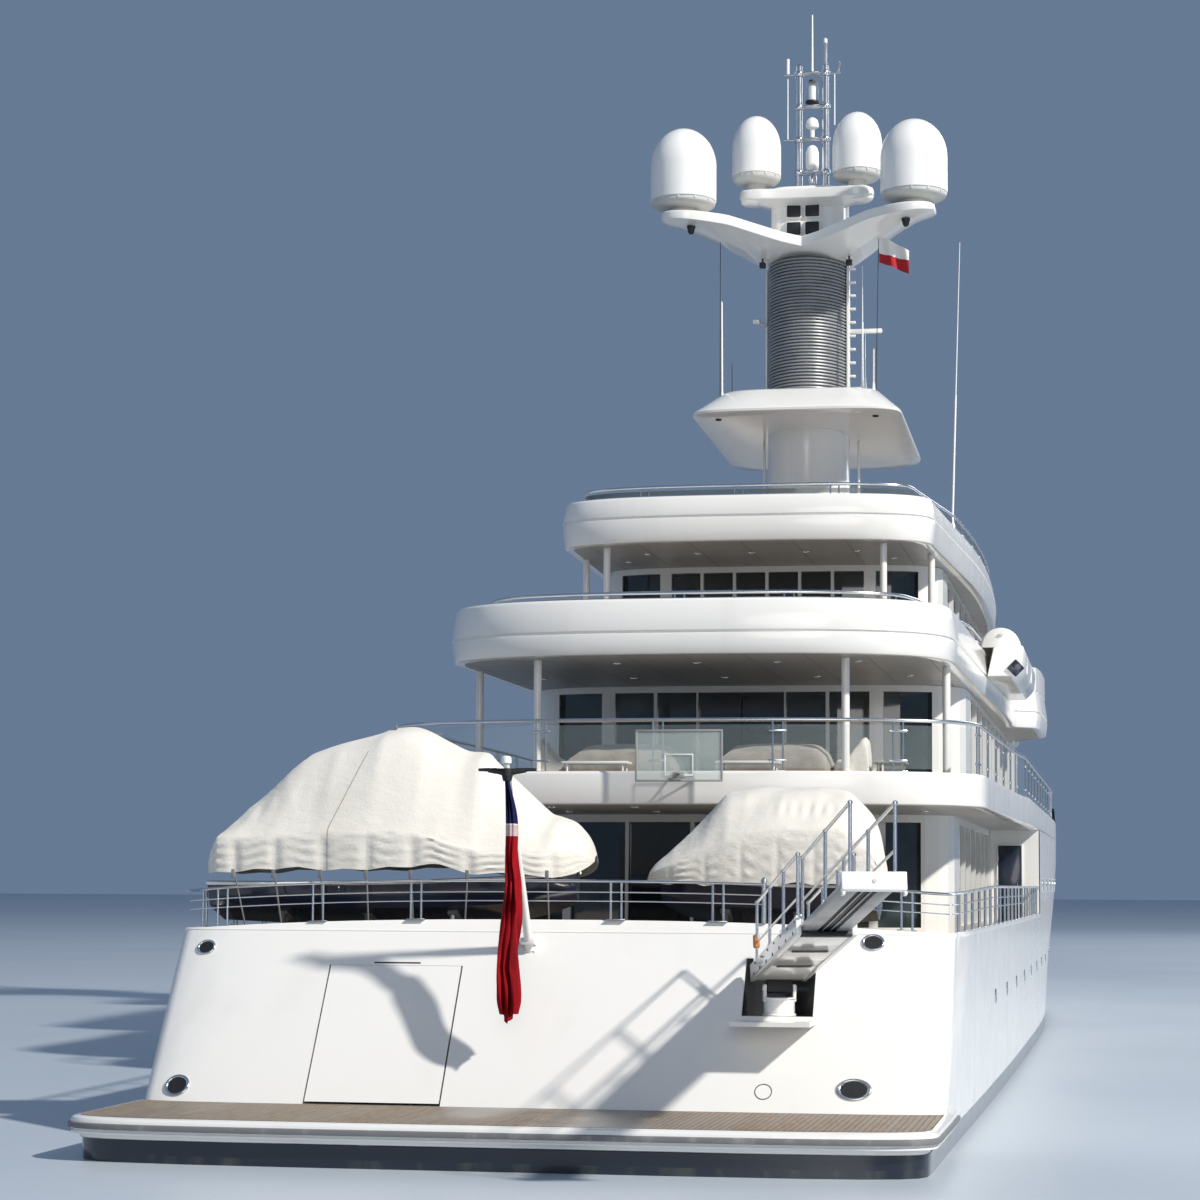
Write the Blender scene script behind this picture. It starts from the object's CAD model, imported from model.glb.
"""The dressed scene of an 88 m motor yacht, a 1:10 scale model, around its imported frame.

Metres, +Y to the bow, +X to starboard, +Z up, waterline at zero. Stations run forward from the
aft edge of the swim platform.
"""

import math

import bmesh
import bpy
from mathutils import Matrix, Vector, noise


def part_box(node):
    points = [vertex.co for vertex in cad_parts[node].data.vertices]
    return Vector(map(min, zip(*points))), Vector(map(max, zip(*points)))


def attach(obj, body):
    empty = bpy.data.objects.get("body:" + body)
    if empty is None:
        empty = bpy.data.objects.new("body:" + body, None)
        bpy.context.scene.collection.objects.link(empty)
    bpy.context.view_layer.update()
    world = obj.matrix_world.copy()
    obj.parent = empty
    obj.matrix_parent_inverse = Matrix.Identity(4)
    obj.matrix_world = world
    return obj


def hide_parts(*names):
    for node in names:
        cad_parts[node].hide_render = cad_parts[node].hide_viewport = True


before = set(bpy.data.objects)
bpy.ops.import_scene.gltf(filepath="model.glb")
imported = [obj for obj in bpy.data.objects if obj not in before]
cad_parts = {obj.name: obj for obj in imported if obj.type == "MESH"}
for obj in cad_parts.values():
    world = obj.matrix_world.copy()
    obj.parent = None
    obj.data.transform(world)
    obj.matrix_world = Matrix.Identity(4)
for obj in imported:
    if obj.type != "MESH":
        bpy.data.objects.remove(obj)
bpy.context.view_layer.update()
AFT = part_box("swim_platform")[0][1]  # the row's y at station zero

# Camera astern and to starboard of the yacht, 4 m above its waterline at full size. The
# photograph is an off-centre crop, which the yaw, the pitch and a small shift give.
VIEW_PLACE = (0.944, -8.273, 0.423)
VIEW_YAW, VIEW_PITCH, VIEW_ROLL = (math.radians(angle) for angle in (9.675, 4.57, 0.281))
eye = bpy.data.cameras.new("eye")
eye.lens, eye.sensor_width = 80.25, 36
eye.shift_x, eye.shift_y = -0.06, 0.06
eye.clip_start, eye.clip_end = 0.1, 200
camera = bpy.data.objects.new("camera", eye)
camera.matrix_world = (
    Matrix.Translation(VIEW_PLACE)
    @ Matrix.Rotation(VIEW_YAW, 4, "Z")
    @ Matrix.Rotation(math.pi / 2 + VIEW_PITCH, 4, "X")
    @ Matrix.Rotation(VIEW_ROLL, 4, "Z")
)
bpy.context.scene.collection.objects.link(camera)
bpy.context.scene.camera = camera

# Daylight: a pale sky all round, a large soft key high over the starboard quarter, as the sun
# stands in the photograph, and a weaker one to port.
sky = bpy.data.worlds.new("sky")
sky.use_nodes = True
sky.node_tree.nodes["Background"].inputs["Color"].default_value = (0.44, 0.63, 0.95, 1)
sky.node_tree.nodes["Background"].inputs["Strength"].default_value = 0.31
bpy.context.scene.world = sky
bpy.context.scene.view_settings.view_transform = "Standard"
bpy.context.scene.view_settings.look = "None"
SOFTBOXES = (
    # name, place, target, width, watts, colour
    ("key", (21.4, -13.6, 18.8), (0, -2.5, 0.8), 1.3, 12300, (1.0, 0.955, 0.89)),
    ("fill", (-12, -6, 7), (0, 0, 1), 8.0, 40, (0.82, 0.9, 1.0)),
    ("stern", (2, -14, 3), (0, -3, 1.2), 5.0, 160, (1.0, 0.97, 0.93)),
    ("bow", (6, 14, 8), (0, 1, 1), 8.0, 420, (0.95, 0.97, 1.0)),
)
for name, place, target, width, watts, colour in SOFTBOXES:
    softbox = bpy.data.lights.new(name, "AREA")
    softbox.shape, softbox.size = "DISK", width
    softbox.energy, softbox.color = watts, colour
    lamp = bpy.data.objects.new(name, softbox)
    aim = Vector(target) - Vector(place)
    lamp.matrix_world = Matrix.Translation(place) @ aim.to_track_quat("-Z", "Y").to_matrix().to_4x4()
    bpy.context.scene.collection.objects.link(lamp)


# Finishes are node materials. A wire is one socket, and arithmetic on it adds Math nodes.
class Wire:
    def __init__(self, finish, socket):
        self.finish, self.socket = finish, socket

    def math(self, operation, *values):
        sockets = dict(enumerate(values))
        return self.finish.add("ShaderNodeMath", {"operation": operation}, sockets)

    def apply(self, operation):
        return self.math(operation, self)

    def __add__(self, other):
        return self.math("ADD", self, other)

    def __sub__(self, other):
        return self.math("SUBTRACT", self, other)

    def __rsub__(self, other):
        return self.math("SUBTRACT", other, self)

    def __mul__(self, other):
        return self.math("MULTIPLY", self, other)

    def __truediv__(self, other):
        return self.math("DIVIDE", self, other)

    def __gt__(self, other):
        return self.math("GREATER_THAN", self, other)

    def __lt__(self, other):
        return self.math("LESS_THAN", self, other)

    __radd__, __rmul__ = __add__, __mul__

    def ramp(self, low, high):
        """Zero up to low, one from high on, and smooth between."""
        sockets = {0: self, 1: low, 2: high}
        return self.finish.add("ShaderNodeMapRange", {"interpolation_type": "SMOOTHSTEP"}, sockets)


class Finish:
    """A Principled material; settings go straight onto its shader's sockets."""

    def __init__(self, name, colour, roughness, slot, **settings):
        self.material = bpy.data.materials.new(name)
        self.material.use_nodes = True
        self.slot = slot
        self.tree = self.material.node_tree
        self.shader = self.tree.nodes["Principled BSDF"]
        self.shader.inputs["Base Color"].default_value = (*colour, 1)
        self.shader.inputs["Roughness"].default_value = roughness
        for socket, value in settings.items():
            self.shader.inputs[socket.replace("_", " ")].default_value = value
        self.place = self.add("ShaderNodeTexCoord", output="Object")

    def add(self, kind, settings=None, sockets=None, output=0):
        node = self.tree.nodes.new(kind)
        for key, value in (settings or {}).items():
            setattr(node, key, value)
        for key, value in (sockets or {}).items():
            if isinstance(value, Wire):
                self.tree.links.new(value.socket, node.inputs[key])
            else:
                node.inputs[key].default_value = value
        return Wire(self, node.outputs[output])

    def feed(self, socket, wire):
        self.tree.links.new(wire.socket, self.shader.inputs[socket])
        return self

    def axis(self, name):
        return self.add("ShaderNodeSeparateXYZ", sockets={0: self.place}, output=name)

    def noise(self, scale, detail=4.0, stretch=(1, 1, 1), rough=0.55):
        at = self.add("ShaderNodeMapping", sockets={"Vector": self.place, "Scale": stretch})
        sockets = {"Vector": at, "Scale": scale, "Detail": detail, "Roughness": rough}
        return self.add("ShaderNodeTexNoise", sockets=sockets)

    def tint(self, factor, low, high):
        """A colour from low to high by a factor; either may itself be a wire."""
        sockets = {0: factor}
        for key, value in ((6, low), (7, high)):
            sockets[key] = value if isinstance(value, Wire) else (*value, 1)
        return self.add("ShaderNodeMix", {"data_type": "RGBA"}, sockets, output=2)

    def coloured(self, factor, low, high):
        return self.feed("Base Color", self.tint(factor, low, high))

    def painted(self):
        """The base colour so far, to lay another over it."""
        return Wire(self, self.shader.inputs["Base Color"].links[0].from_socket)

    def roughened(self, scale, detail, spread, least, stretch=(1, 1, 1)):
        """A roughness that wanders up by the spread from its least value."""
        return self.feed("Roughness", self.noise(scale, detail, stretch) * spread + least)

    def relief(self, height, depth, strength=1.0):
        sockets = {"Height": height, "Distance": depth, "Strength": strength}
        return self.feed("Normal", self.add("ShaderNodeBump", sockets=sockets))


# The floor lies at the waterline. It is plain and pale, with a faint sheen that wanders.
FLOOR_SIZE = 90
ground = bmesh.new()
bmesh.ops.create_grid(ground, x_segments=1, y_segments=1, size=FLOOR_SIZE)
floor_mesh = bpy.data.meshes.new("floor")
ground.to_mesh(floor_mesh)
ground.free()
floor_finish = Finish("floor", (0.5, 0.56, 0.62), 0.32, None)
floor_finish.roughened(0.7, 4, 0.25, 0.22)
floor_mesh.materials.append(floor_finish.material)
floor = bpy.data.objects.new("floor", floor_mesh)
bpy.context.scene.collection.objects.link(floor)

# Gloss white topcoat over faired plating, rolled and sprayed. It is faintly wavy, streaked below
# the scuppers and dulled by salt. The boot top is navy, and the bottom is dark antifouling.
WHITE = (0.83, 0.82, 0.79)
SALT = (0.68, 0.67, 0.62)
NAVY = (0.006, 0.011, 0.024)
ANTIFOULING = (0.02, 0.028, 0.05)
BOOT_TOP, SCUM_LINE = 0.036, 0.014


def topcoat(name, colour=WHITE, grime=0.35):
    paint = Finish(name, colour, 0.2, "white_paint", Coat_Weight=0.5, Coat_Roughness=0.08)
    streaks = paint.noise(9, 6, (1, 1, 0.12)).ramp(0.52, 0.8) * grime
    blotches = paint.noise(1.6, 5).ramp(0.4, 0.75) * (grime * 0.35)
    paint.coloured(streaks + blotches, colour, SALT)
    paint.roughened(14, 5, 0.14, 0.14)
    return paint.relief(paint.noise(1.3, 2) + paint.noise(120, 3) * 0.004, 0.002)


paint_house = topcoat("paint_house")
paint_hull = topcoat("paint_hull", grime=0.45)
height = paint_hull.axis("Z") + paint_hull.noise(6, 3) * 0.003
wet = paint_hull.noise(22, 4, (1, 1, 0.3))
bottom = paint_hull.tint(height.ramp(-0.012, 0.002), ANTIFOULING, NAVY)
bottom = paint_hull.tint((height < SCUM_LINE) * wet.ramp(0.45, 0.7) * 0.5, bottom, (0.07, 0.08, 0.06))
paint_hull.coloured(height > BOOT_TOP, bottom, paint_hull.painted())

# Hull: welded steel, faired and painted. Each row of the table is one station, and the sides
# between are smooth curves up to the upper deck's edge. The sides rise to the forecastle at 4 m.
HULL_LINES = (
    # station, keel, squareness, half-breadth at the waterline, main deck and upper deck
    (0.0, -0.062, 5.0, 0.652, 0.664, 0.664),
    (0.6, -0.092, 4.8, 0.660, 0.669, 0.669),
    (1.3, -0.150, 4.2, 0.671, 0.678, 0.678),
    (2.2, -0.255, 3.6, 0.682, 0.686, 0.687),
    (3.2, -0.352, 3.4, 0.689, 0.690, 0.690),
    (4.2, -0.392, 3.3, 0.690, 0.690, 0.690),
    (5.0, -0.396, 3.0, 0.668, 0.688, 0.690),
    (5.8, -0.396, 2.5, 0.600, 0.672, 0.686),
    (6.5, -0.396, 2.1, 0.486, 0.622, 0.664),
    (7.1, -0.396, 1.8, 0.346, 0.532, 0.612),
    (7.6, -0.396, 1.6, 0.212, 0.418, 0.535),
    (8.0, -0.396, 1.5, 0.106, 0.292, 0.440),
    (8.3, -0.396, 1.5, 0.026, 0.170, 0.342),
    (8.5, -0.396, 1.5, 0.004, 0.066, 0.250),
    (8.7, -0.396, 1.5, 0.004, 0.010, 0.118),
    (8.778, -0.396, 1.5, 0.004, 0.006, 0.060),
)
KEEL, SQUARENESS, WATER, DECK, SHEER = range(1, 6)
STEM = (
    # height, station
    (-0.42, 7.75), (-0.382, 7.99), (-0.3, 8.17), (-0.15, 8.29), (0.0, 8.33), (0.264, 8.48),
    (0.546, 8.64), (0.79, 8.778),
)
STEM_ROUND = 0.52  # length over which the sides close in to the stem
MAIN_DECK, BULWARK, UPPER_SOFFIT, UPPER_DECK = 0.315, 0.346, 0.59, 0.66
PLATFORM_TOP, UNDER_PLATFORM = 0.068, 0.034
TRANSOM_FOOT, TRANSOM_SLOPE, TRANSOM_CORNER = 0.328, 0.647, 0.102
TRANSOM_HALF, TRANSOM_FLAT = 0.664, 0.64  # half-breadth, and that of the columns across it
FORECASTLE = 4.0


def between(rows, at, column):
    """A smooth curve through one column of a table, against its first column."""
    i = next((k for k, row in enumerate(rows) if row[0] >= at), len(rows) - 1)
    i = min(max(i, 1), len(rows) - 1)

    def slope(k):
        low, high = rows[max(0, k - 1)], rows[min(len(rows) - 1, k + 1)]
        return (high[column] - low[column]) / (high[0] - low[0])

    a, b = rows[i - 1], rows[i]
    run = b[0] - a[0]
    t = min(1.0, max(0.0, (at - a[0]) / run))
    return (
        (2 * t**3 - 3 * t**2 + 1) * a[column]
        + (t**3 - 2 * t**2 + t) * run * slope(i - 1)
        + (3 * t**2 - 2 * t**3) * b[column]
        + (t**3 - t**2) * run * slope(i)
    )


def stem_at(z):
    return between(STEM, z, 1)


def closing(station, z):
    """How far the sides have closed in near the stem: 1 well aft of it, 0 at it."""
    return min(1.0, max(0.0, (stem_at(z) - station) / STEM_ROUND)) ** 0.6


def half_breadth(station, z):
    water, deck, sheer = (between(HULL_LINES, station, column) for column in (WATER, DECK, SHEER))
    d, s = MAIN_DECK, UPPER_DECK
    return closing(station, z) * (
        water * (z - d) * (z - s) / (d * s)
        + deck * z * (z - s) / (d * (d - s))
        + sheer * z * (z - d) / (s * (s - d))
    )


def transom_at(z, x=0.0):
    """Station of the raked transom, with its rounded quarters, at a height and a place across."""
    share = min(1.0, abs(x) / TRANSOM_HALF)
    bulge = TRANSOM_CORNER * (1 - (1 - share**7) ** (1 / 7))
    return TRANSOM_FOOT + (z - PLATFORM_TOP) * TRANSOM_SLOPE + bulge


DOORWAY = (-0.379, -0.149, 0.068, 0.2884)  # x from, x to, z from, z to
BAY = (0.326, 0.442, 0.214, 0.305)
LOBBY_END, BAY_END = 0.67, 0.59  # stations
# The bay's inside is painted dark, from a little within the transom.
inset = paint_hull.axis("Y") - (TRANSOM_FOOT + AFT - PLATFORM_TOP * TRANSOM_SLOPE + 0.006)
in_bay = inset > paint_hull.axis("Z") * TRANSOM_SLOPE
in_bay = in_bay * (paint_hull.axis("Y") < TRANSOM_FOOT + AFT + 0.45)
for name, low, high in (("X", BAY[0] - 0.002, BAY[1] + 0.002), ("Z", BAY[2] - 0.0005, BAY[3] + 0.002)):
    in_bay = in_bay * (paint_hull.axis(name) > low) * (paint_hull.axis(name) < high)
paint_hull.coloured(in_bay, paint_hull.painted(), (0.035, 0.035, 0.038))
TRANSOM_COLUMNS = (
    (-TRANSOM_FLAT, -0.61, -0.56, -0.48, DOORWAY[0], -0.3, -0.22, DOORWAY[1], -0.08, 0.0, 0.08)
    + (0.16, 0.24, BAY[0], 0.384, BAY[1], 0.48, 0.56, 0.61, TRANSOM_FLAT)
)
CORNER_STEPS, AFT_STEPS, BOW_STEPS = 8, 18, 44


def side_line(z, side):
    """One side of the hull at a height, from the transom's rounded quarter to the stem."""
    quarter = transom_at(z) + TRANSOM_CORNER
    first = math.acos((TRANSOM_FLAT / TRANSOM_HALF) ** 3.5)
    line = []
    for i in range(1, CORNER_STEPS + 1):
        angle = first * (1 - i / CORNER_STEPS)
        y = quarter - TRANSOM_CORNER * math.sin(angle) ** (2 / 7)
        line.append((min(TRANSOM_HALF * math.cos(angle) ** (2 / 7), half_breadth(y, z)), y))
    start, stem = quarter + 0.02, stem_at(z)
    stations = [start + (FORECASTLE - start) * i / AFT_STEPS for i in range(AFT_STEPS)]
    stations += [
        FORECASTLE + (stem - FORECASTLE) * (1 - (1 - i / BOW_STEPS) ** 1.35)
        for i in range(BOW_STEPS + 1)
    ]
    line += [(half_breadth(y, z), y) for y in stations]
    return [(side * x, y, z) for x, y in line]


def hull_loop(z):
    """The hull's outline at a height, from the stem down the port side and back to starboard."""
    stern = [(x, transom_at(z, x), z) for x in TRANSOM_COLUMNS]
    return side_line(z, -1)[::-1] + stern + side_line(z, 1)


def drop_faces(bm, wanted):
    found = [face for face in bm.faces if wanted(face.calc_center_median())]
    bmesh.ops.delete(bm, geom=found, context="FACES")


def skin(bm, across, along, place):
    """A grid of faces; place(i, j) says where the vertex at column i and row j goes."""
    made = bmesh.ops.create_grid(bm, x_segments=across, y_segments=along, size=0.5)
    for vert in made["verts"]:
        i, j = round((vert.co.x + 0.5) * across), round((vert.co.y + 0.5) * along)
        vert.co = place(i, j)
    return made["verts"]


def piece(name, bm, finish, body="yacht", stands_for=(), smooth=38, outward=True):
    bmesh.ops.translate(bm, vec=(0, AFT, 0), verts=bm.verts)
    bmesh.ops.remove_doubles(bm, verts=bm.verts, dist=2e-5)
    bmesh.ops.dissolve_degenerate(bm, edges=bm.edges, dist=1e-6)
    if outward:
        bmesh.ops.recalc_face_normals(bm, faces=bm.faces)
    for edge in bm.edges:
        edge.smooth = edge.is_manifold and edge.calc_face_angle(0) < math.radians(smooth)
    for face in bm.faces:
        face.smooth = True
    mesh = bpy.data.meshes.new(name)
    bm.to_mesh(mesh)
    bm.free()
    mesh.materials.append(finish.material)
    made = bpy.data.objects.new(name, mesh)
    bpy.context.scene.collection.objects.link(made)
    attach(made, body)
    if stands_for:
        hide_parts(*stands_for)
    return made


LEVELS = (UNDER_PLATFORM, DOORWAY[2], 0.115, 0.165, BAY[2], 0.252, DOORWAY[3], BAY[3])
LEVELS += (BULWARK, 0.42, 0.5, UPPER_SOFFIT)
topsides = bmesh.new()
loops = [hull_loop(z) for z in LEVELS]
skin(topsides, len(loops[0]) - 1, len(loops) - 1, lambda i, j: loops[j][i])
drop_faces(topsides, lambda middle: middle.z > BULWARK and middle.y < FORECASTLE)
for x0, x1, z0, z1 in (DOORWAY, BAY):
    drop_faces(topsides, lambda middle: x0 < middle.x < x1 and z0 < middle.z < z1 and middle.y < 0.7)
# The lobby behind the boarding door and the gangway's bay are lined with painted plate.
for (x0, x1, z0, z1), end in ((DOORWAY, LOBBY_END), (BAY, BAY_END)):
    mouth = ((x0, z0), (x1, z0), (x1, z1), (x0, z1), (x0, z0))
    lined = [[(x, end if j else transom_at(z, x), z) for x, z in mouth] for j in range(2)]
    skin(topsides, 4, 1, lambda i, j: lined[j][i])
    skin(topsides, 1, 1, lambda i, j: ((x0, x1)[i], end, (z0, z1)[j]))
piece("hull_topsides", topsides, paint_hull, stands_for=["hull", "forecastle"], outward=False)


# Bulwark round the aft deck: one plate with the topsides. Its rounded capping is welded along
# the top and painted with it.
def swept(bm, path, section, closed=False):
    """Carries a section along a plan path; its (inset, height) points lie to the path's left."""
    count = len(path)
    rule = section if callable(section) else lambda point: section

    def place(i, j):
        j %= count
        before = path[j - 1] if closed or j else path[0]
        after = path[(j + 1) % count] if closed or j + 1 < count else path[j]
        run = Vector(after[:2]) - Vector(before[:2])
        run.normalize()
        inset, height = rule(path[j])[i]
        return (path[j][0] - run.y * inset, path[j][1] + run.x * inset, height)

    return skin(bm, len(rule(path[0])) - 1, count if closed else count - 1, place)


stern_line = [(x, y) for x, y, _ in hull_loop(BULWARK) if y < FORECASTLE + 0.001]
capping = bmesh.new()
CAP_SECTION = (
    (0.0, 0.3385), (-0.0015, 0.3405), (-0.0015, 0.3455), (0.001, 0.3478), (0.0145, 0.3478),
    (0.017, 0.3455), (0.017, 0.3405), (0.0155, 0.3385), (0.0155, 0.3152),
)
swept(capping, stern_line, CAP_SECTION)
piece("aft_bulwark_cap", capping, paint_house, stands_for=["aft_bulwark"], outward=False)

# Underwater body: welded plating, whose sections follow the round of the bilge from the keel to
# the platform's height. It has a bulb at the forefoot, a skeg, and a trunk over each rudder.
BULB_HALF, BULB_MIDDLE = (0.072, 0.33, 0.112), (0, 8.165, -0.24)
SKEG_LOW, SKEG_HIGH = (-0.016, 2.1, -0.4), (0.016, 7.5, -0.2)
TRUNK_X, TRUNK_Y, TRUNK_LOW, TRUNK_HIGH, TRUNK_RADIUS = 0.29, 0.44, -0.098, -0.02, 0.024
BILGE_STEPS, BOTTOM_STEPS, LOW_STERN, STERN_ROUND = 12, 64, 0.014, 0.12
STERN_SHARES = (0.0, 0.45, 0.72, 0.86, 0.94, 0.98, 0.996)


def bottom_station(z, j):
    if j < 0:
        return LOW_STERN + STERN_ROUND * (1 - (1 - STERN_SHARES[j] ** 5) ** 0.2)
    start = LOW_STERN + STERN_ROUND
    return start + (stem_at(z) - start) * (1 - (1 - j / BOTTOM_STEPS) ** 1.15)


def bottom_point(i, j):
    i -= BILGE_STEPS + 1
    j -= len(STERN_SHARES)
    side = (1 if i >= 0 else -1) * (STERN_SHARES[j] if j < 0 else 1)
    if abs(i) > BILGE_STEPS:
        y = bottom_station(UNDER_PLATFORM, j)
        return (side * half_breadth(y, UNDER_PLATFORM), y, UNDER_PLATFORM)
    angle, z = abs(i) / BILGE_STEPS * math.pi / 2, -0.2
    for _ in range(4):
        y = bottom_station(z, j)
        n, keel, water = (between(HULL_LINES, y, column) for column in (SQUARENESS, KEEL, WATER))
        z = keel * max(0.0, math.cos(angle)) ** (2 / n)
    return (side * closing(y, z) * water * math.sin(angle) ** (2 / n), y, z)


def added(bm, before):
    """The vertices made since the bmesh had these."""
    return [vert for vert in bm.verts if vert not in before]


def block(bm, low, high, turn=None, bevel=0.0, segments=2):
    """A box between two corners, with eased edges, turned about its own middle if asked."""
    low, high = Vector(low), Vector(high)
    before = set(bm.verts)
    made = bmesh.ops.create_cube(bm, size=1)["verts"]
    bmesh.ops.scale(bm, vec=high - low, verts=made)
    if bevel:
        bmesh.ops.bevel(
            bm,
            geom=list(dict.fromkeys(edge for vert in made for edge in vert.link_edges)),
            offset=bevel,
            affect="EDGES",
            segments=segments,
            profile=0.5,
            material=-1,
        )
        made = added(bm, before)
    if turn:
        bmesh.ops.transform(bm, matrix=turn, verts=made)
    bmesh.ops.translate(bm, vec=(low + high) / 2, verts=made)
    return made


def bar(bm, start, end, radius, sides=10, end_radius=None):
    """A round bar between two points, tapered if a second radius is given."""
    start, end = Vector(start), Vector(end)
    run = end - start
    turn = run.to_track_quat("Z", "Y").to_matrix().to_4x4()
    return bmesh.ops.create_cone(
        bm,
        cap_ends=True,
        segments=sides,
        radius1=radius,
        radius2=radius if end_radius is None else end_radius,
        depth=run.length,
        matrix=Matrix.Translation((start + end) / 2) @ turn,
    )["verts"]


underbody = bmesh.new()
skin(underbody, 2 * BILGE_STEPS + 2, BOTTOM_STEPS + len(STERN_SHARES), bottom_point)
bmesh.ops.remove_doubles(underbody, verts=underbody.verts, dist=2e-5)
bmesh.ops.holes_fill(underbody, edges=underbody.edges)
bulb = bmesh.ops.create_uvsphere(underbody, u_segments=24, v_segments=16, radius=1)["verts"]
bmesh.ops.scale(underbody, vec=BULB_HALF, verts=bulb)
bmesh.ops.translate(underbody, vec=BULB_MIDDLE, verts=bulb)
block(underbody, SKEG_LOW, SKEG_HIGH, bevel=0.004)
for x in (-TRUNK_X, TRUNK_X):
    bar(underbody, (x, TRUNK_Y, TRUNK_LOW), (x, TRUNK_Y, TRUNK_HIGH), TRUNK_RADIUS, 24)
piece("hull_underbody", underbody, paint_hull, stands_for=["hull"])

# Laid teak: quarter-sawn planks fore and aft with black caulked seams, bonded to the plating. It
# is weathered grey-brown, with darker damp patches, and covers the platform and every open deck.
teak = Finish("teak", (0.3, 0.22, 0.15), 0.6, None)
PLANK, TEAK_LIFT = 0.0095, 0.0004  # a plank's width, and how far a deck's teak stands over it
course = teak.axis("X") / PLANK
plank = course.apply("FLOOR")
seam = (course.apply("FRACT") - 0.5).apply("ABSOLUTE") > 0.44
shade = teak.add("ShaderNodeTexWhiteNoise", {"noise_dimensions": "1D"}, {"W": plank})
grain = teak.noise(60, 6, (6, 0.35, 1))
fresh = teak.tint(grain.ramp(0.35, 0.7), (0.2, 0.14, 0.09), (0.36, 0.27, 0.18))
weathered = teak.tint(shade * 0.5 + teak.noise(3, 4).ramp(0.4, 0.7) * 0.4, fresh, (0.3, 0.27, 0.23))
damp = teak.noise(2.4, 5, (1, 0.35, 1)).ramp(0.5, 0.66)
wood = teak.tint(damp * 0.4, weathered, (0.085, 0.063, 0.048))
teak.coloured(seam, wood, (0.02, 0.019, 0.018))
teak.feed("Roughness", 0.62 - damp * 0.34)
teak.relief(grain * 0.25 - seam * 1.0, 0.0006)


def inboard(half, distance):
    """A half edge moved in from the side."""
    moved = []
    for j, (x, y) in enumerate(half):
        before = half[j - 1] if j else (-half[1][0], half[1][1])
        last = j + 1 == len(half)
        after = ((-half[-2][0], half[-2][1]) if x < 1e-4 else half[-1]) if last else half[j + 1]
        run = (Vector(after) - Vector(before)).normalized()
        moved.append((max(0.0, x - run.y * distance), y + run.x * distance))
    return moved


def sheet_of(bm, half, height):
    """A flat deck between the two sides of a half edge."""
    return skin(bm, 4, len(half) - 1, lambda i, j: ((i / 2 - 1) * half[j][0], half[j][1], height))


def planked(name, half, deck_height):
    deck = bmesh.new()
    sheet_of(deck, half, deck_height + TEAK_LIFT)
    return piece(name, deck, teak, outward=False)


main_deck_edge = [(0.0, transom_at(BULWARK))] + [p for p in stern_line if p[0] > 0.01]
planked("main_deck_teak", inboard(main_deck_edge, 0.0155), MAIN_DECK)


# Swim platform: a plate as wide as the hull, welded to its stern, with a white moulded rim. A
# grey rubber strip is set round the rim for the boats to lie against.
def rounded_end(half_width, centre, corner, squareness, steps):
    """A rounded deck end in plan, from the centreline out to the side."""
    quarter = math.pi / 2 / steps
    return [
        (
            half_width * math.sin(i * quarter) ** (2 / squareness),
            corner + (centre - corner) * max(0.0, math.cos(i * quarter)) ** (2 / squareness),
        )
        for i in range(steps + 1)
    ]


def open_line(half):
    """The line from the port end round the stern to the starboard end of a half edge."""
    return [(-x, y) for x, y in reversed(half[1:])] + half


PLATFORM_ROUND, PLATFORM_SQUARE = 0.12, 5.0
PLATFORM_HALF, PLATFORM_SIDE = 0.668, [(0.6705, 0.3), (0.671, 0.47)]
platform_half = rounded_end(PLATFORM_HALF, 0.0, PLATFORM_ROUND, PLATFORM_SQUARE, 28) + PLATFORM_SIDE
platform_line = open_line(platform_half)
rim = bmesh.new()
RIM_SECTION = (
    (0.045, 0.0345), (0.016, 0.0345), (0.014, 0.036), (0.014, 0.0410), (0.002, 0.0420),
    (0.001, 0.0430), (0.001, 0.0452), (0.0045, 0.0458), (0.0045, 0.0478), (0.0, 0.0484),
    (0.0, 0.0615), (0.0022, 0.0658), (0.007, 0.0676), (0.03, 0.0676), (0.045, 0.0672),
    (0.045, 0.0345),
)
swept(rim, platform_line, RIM_SECTION)
bmesh.ops.remove_doubles(rim, verts=rim.verts, dist=2e-5)
bmesh.ops.holes_fill(rim, edges=rim.edges)
piece("platform_rim", rim, paint_house, stands_for=["swim_platform"])
TEAK_HALF, TEAK_AFT, TEAK_TOP = 0.6575, 0.015, 0.0681
TEAK_COLUMNS, TEAK_ROWS = 64, 8


def platform_aft(x):
    share = min(1.0, abs(x) / TEAK_HALF)
    return TEAK_AFT + PLATFORM_ROUND * (1 - (1 - share**PLATFORM_SQUARE) ** (1 / PLATFORM_SQUARE))


def platform_point(i, j):
    x = TEAK_HALF * 0.9995 * math.sin((i / TEAK_COLUMNS - 0.5) * math.pi)
    aft, fore = platform_aft(x), transom_at(PLATFORM_TOP, x) + 0.002
    return (x, aft + (fore - aft) * j / TEAK_ROWS, TEAK_TOP)


platform_deck = bmesh.new()
skin(platform_deck, TEAK_COLUMNS, TEAK_ROWS, platform_point)
piece("platform_teak", platform_deck, teak, outward=False)

rubber = Finish("rubber", (0.16, 0.165, 0.17), 0.62, None)
scuffs = rubber.noise(40, 6, (1, 1, 0.4)).ramp(0.5, 0.75)
rubber.coloured(scuffs * 0.5, (0.16, 0.165, 0.17), (0.36, 0.36, 0.35))
rubber.relief(rubber.noise(260, 4), 0.0004)
strip = bmesh.new()
STRIP_SECTION = (
    (0.0005, 0.0492), (-0.0035, 0.0502), (-0.0045, 0.0540), (-0.0035, 0.0578), (0.0005, 0.0590),
)
swept(strip, platform_line, STRIP_SECTION)
piece("platform_strip", strip, rubber, outward=False)

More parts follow.
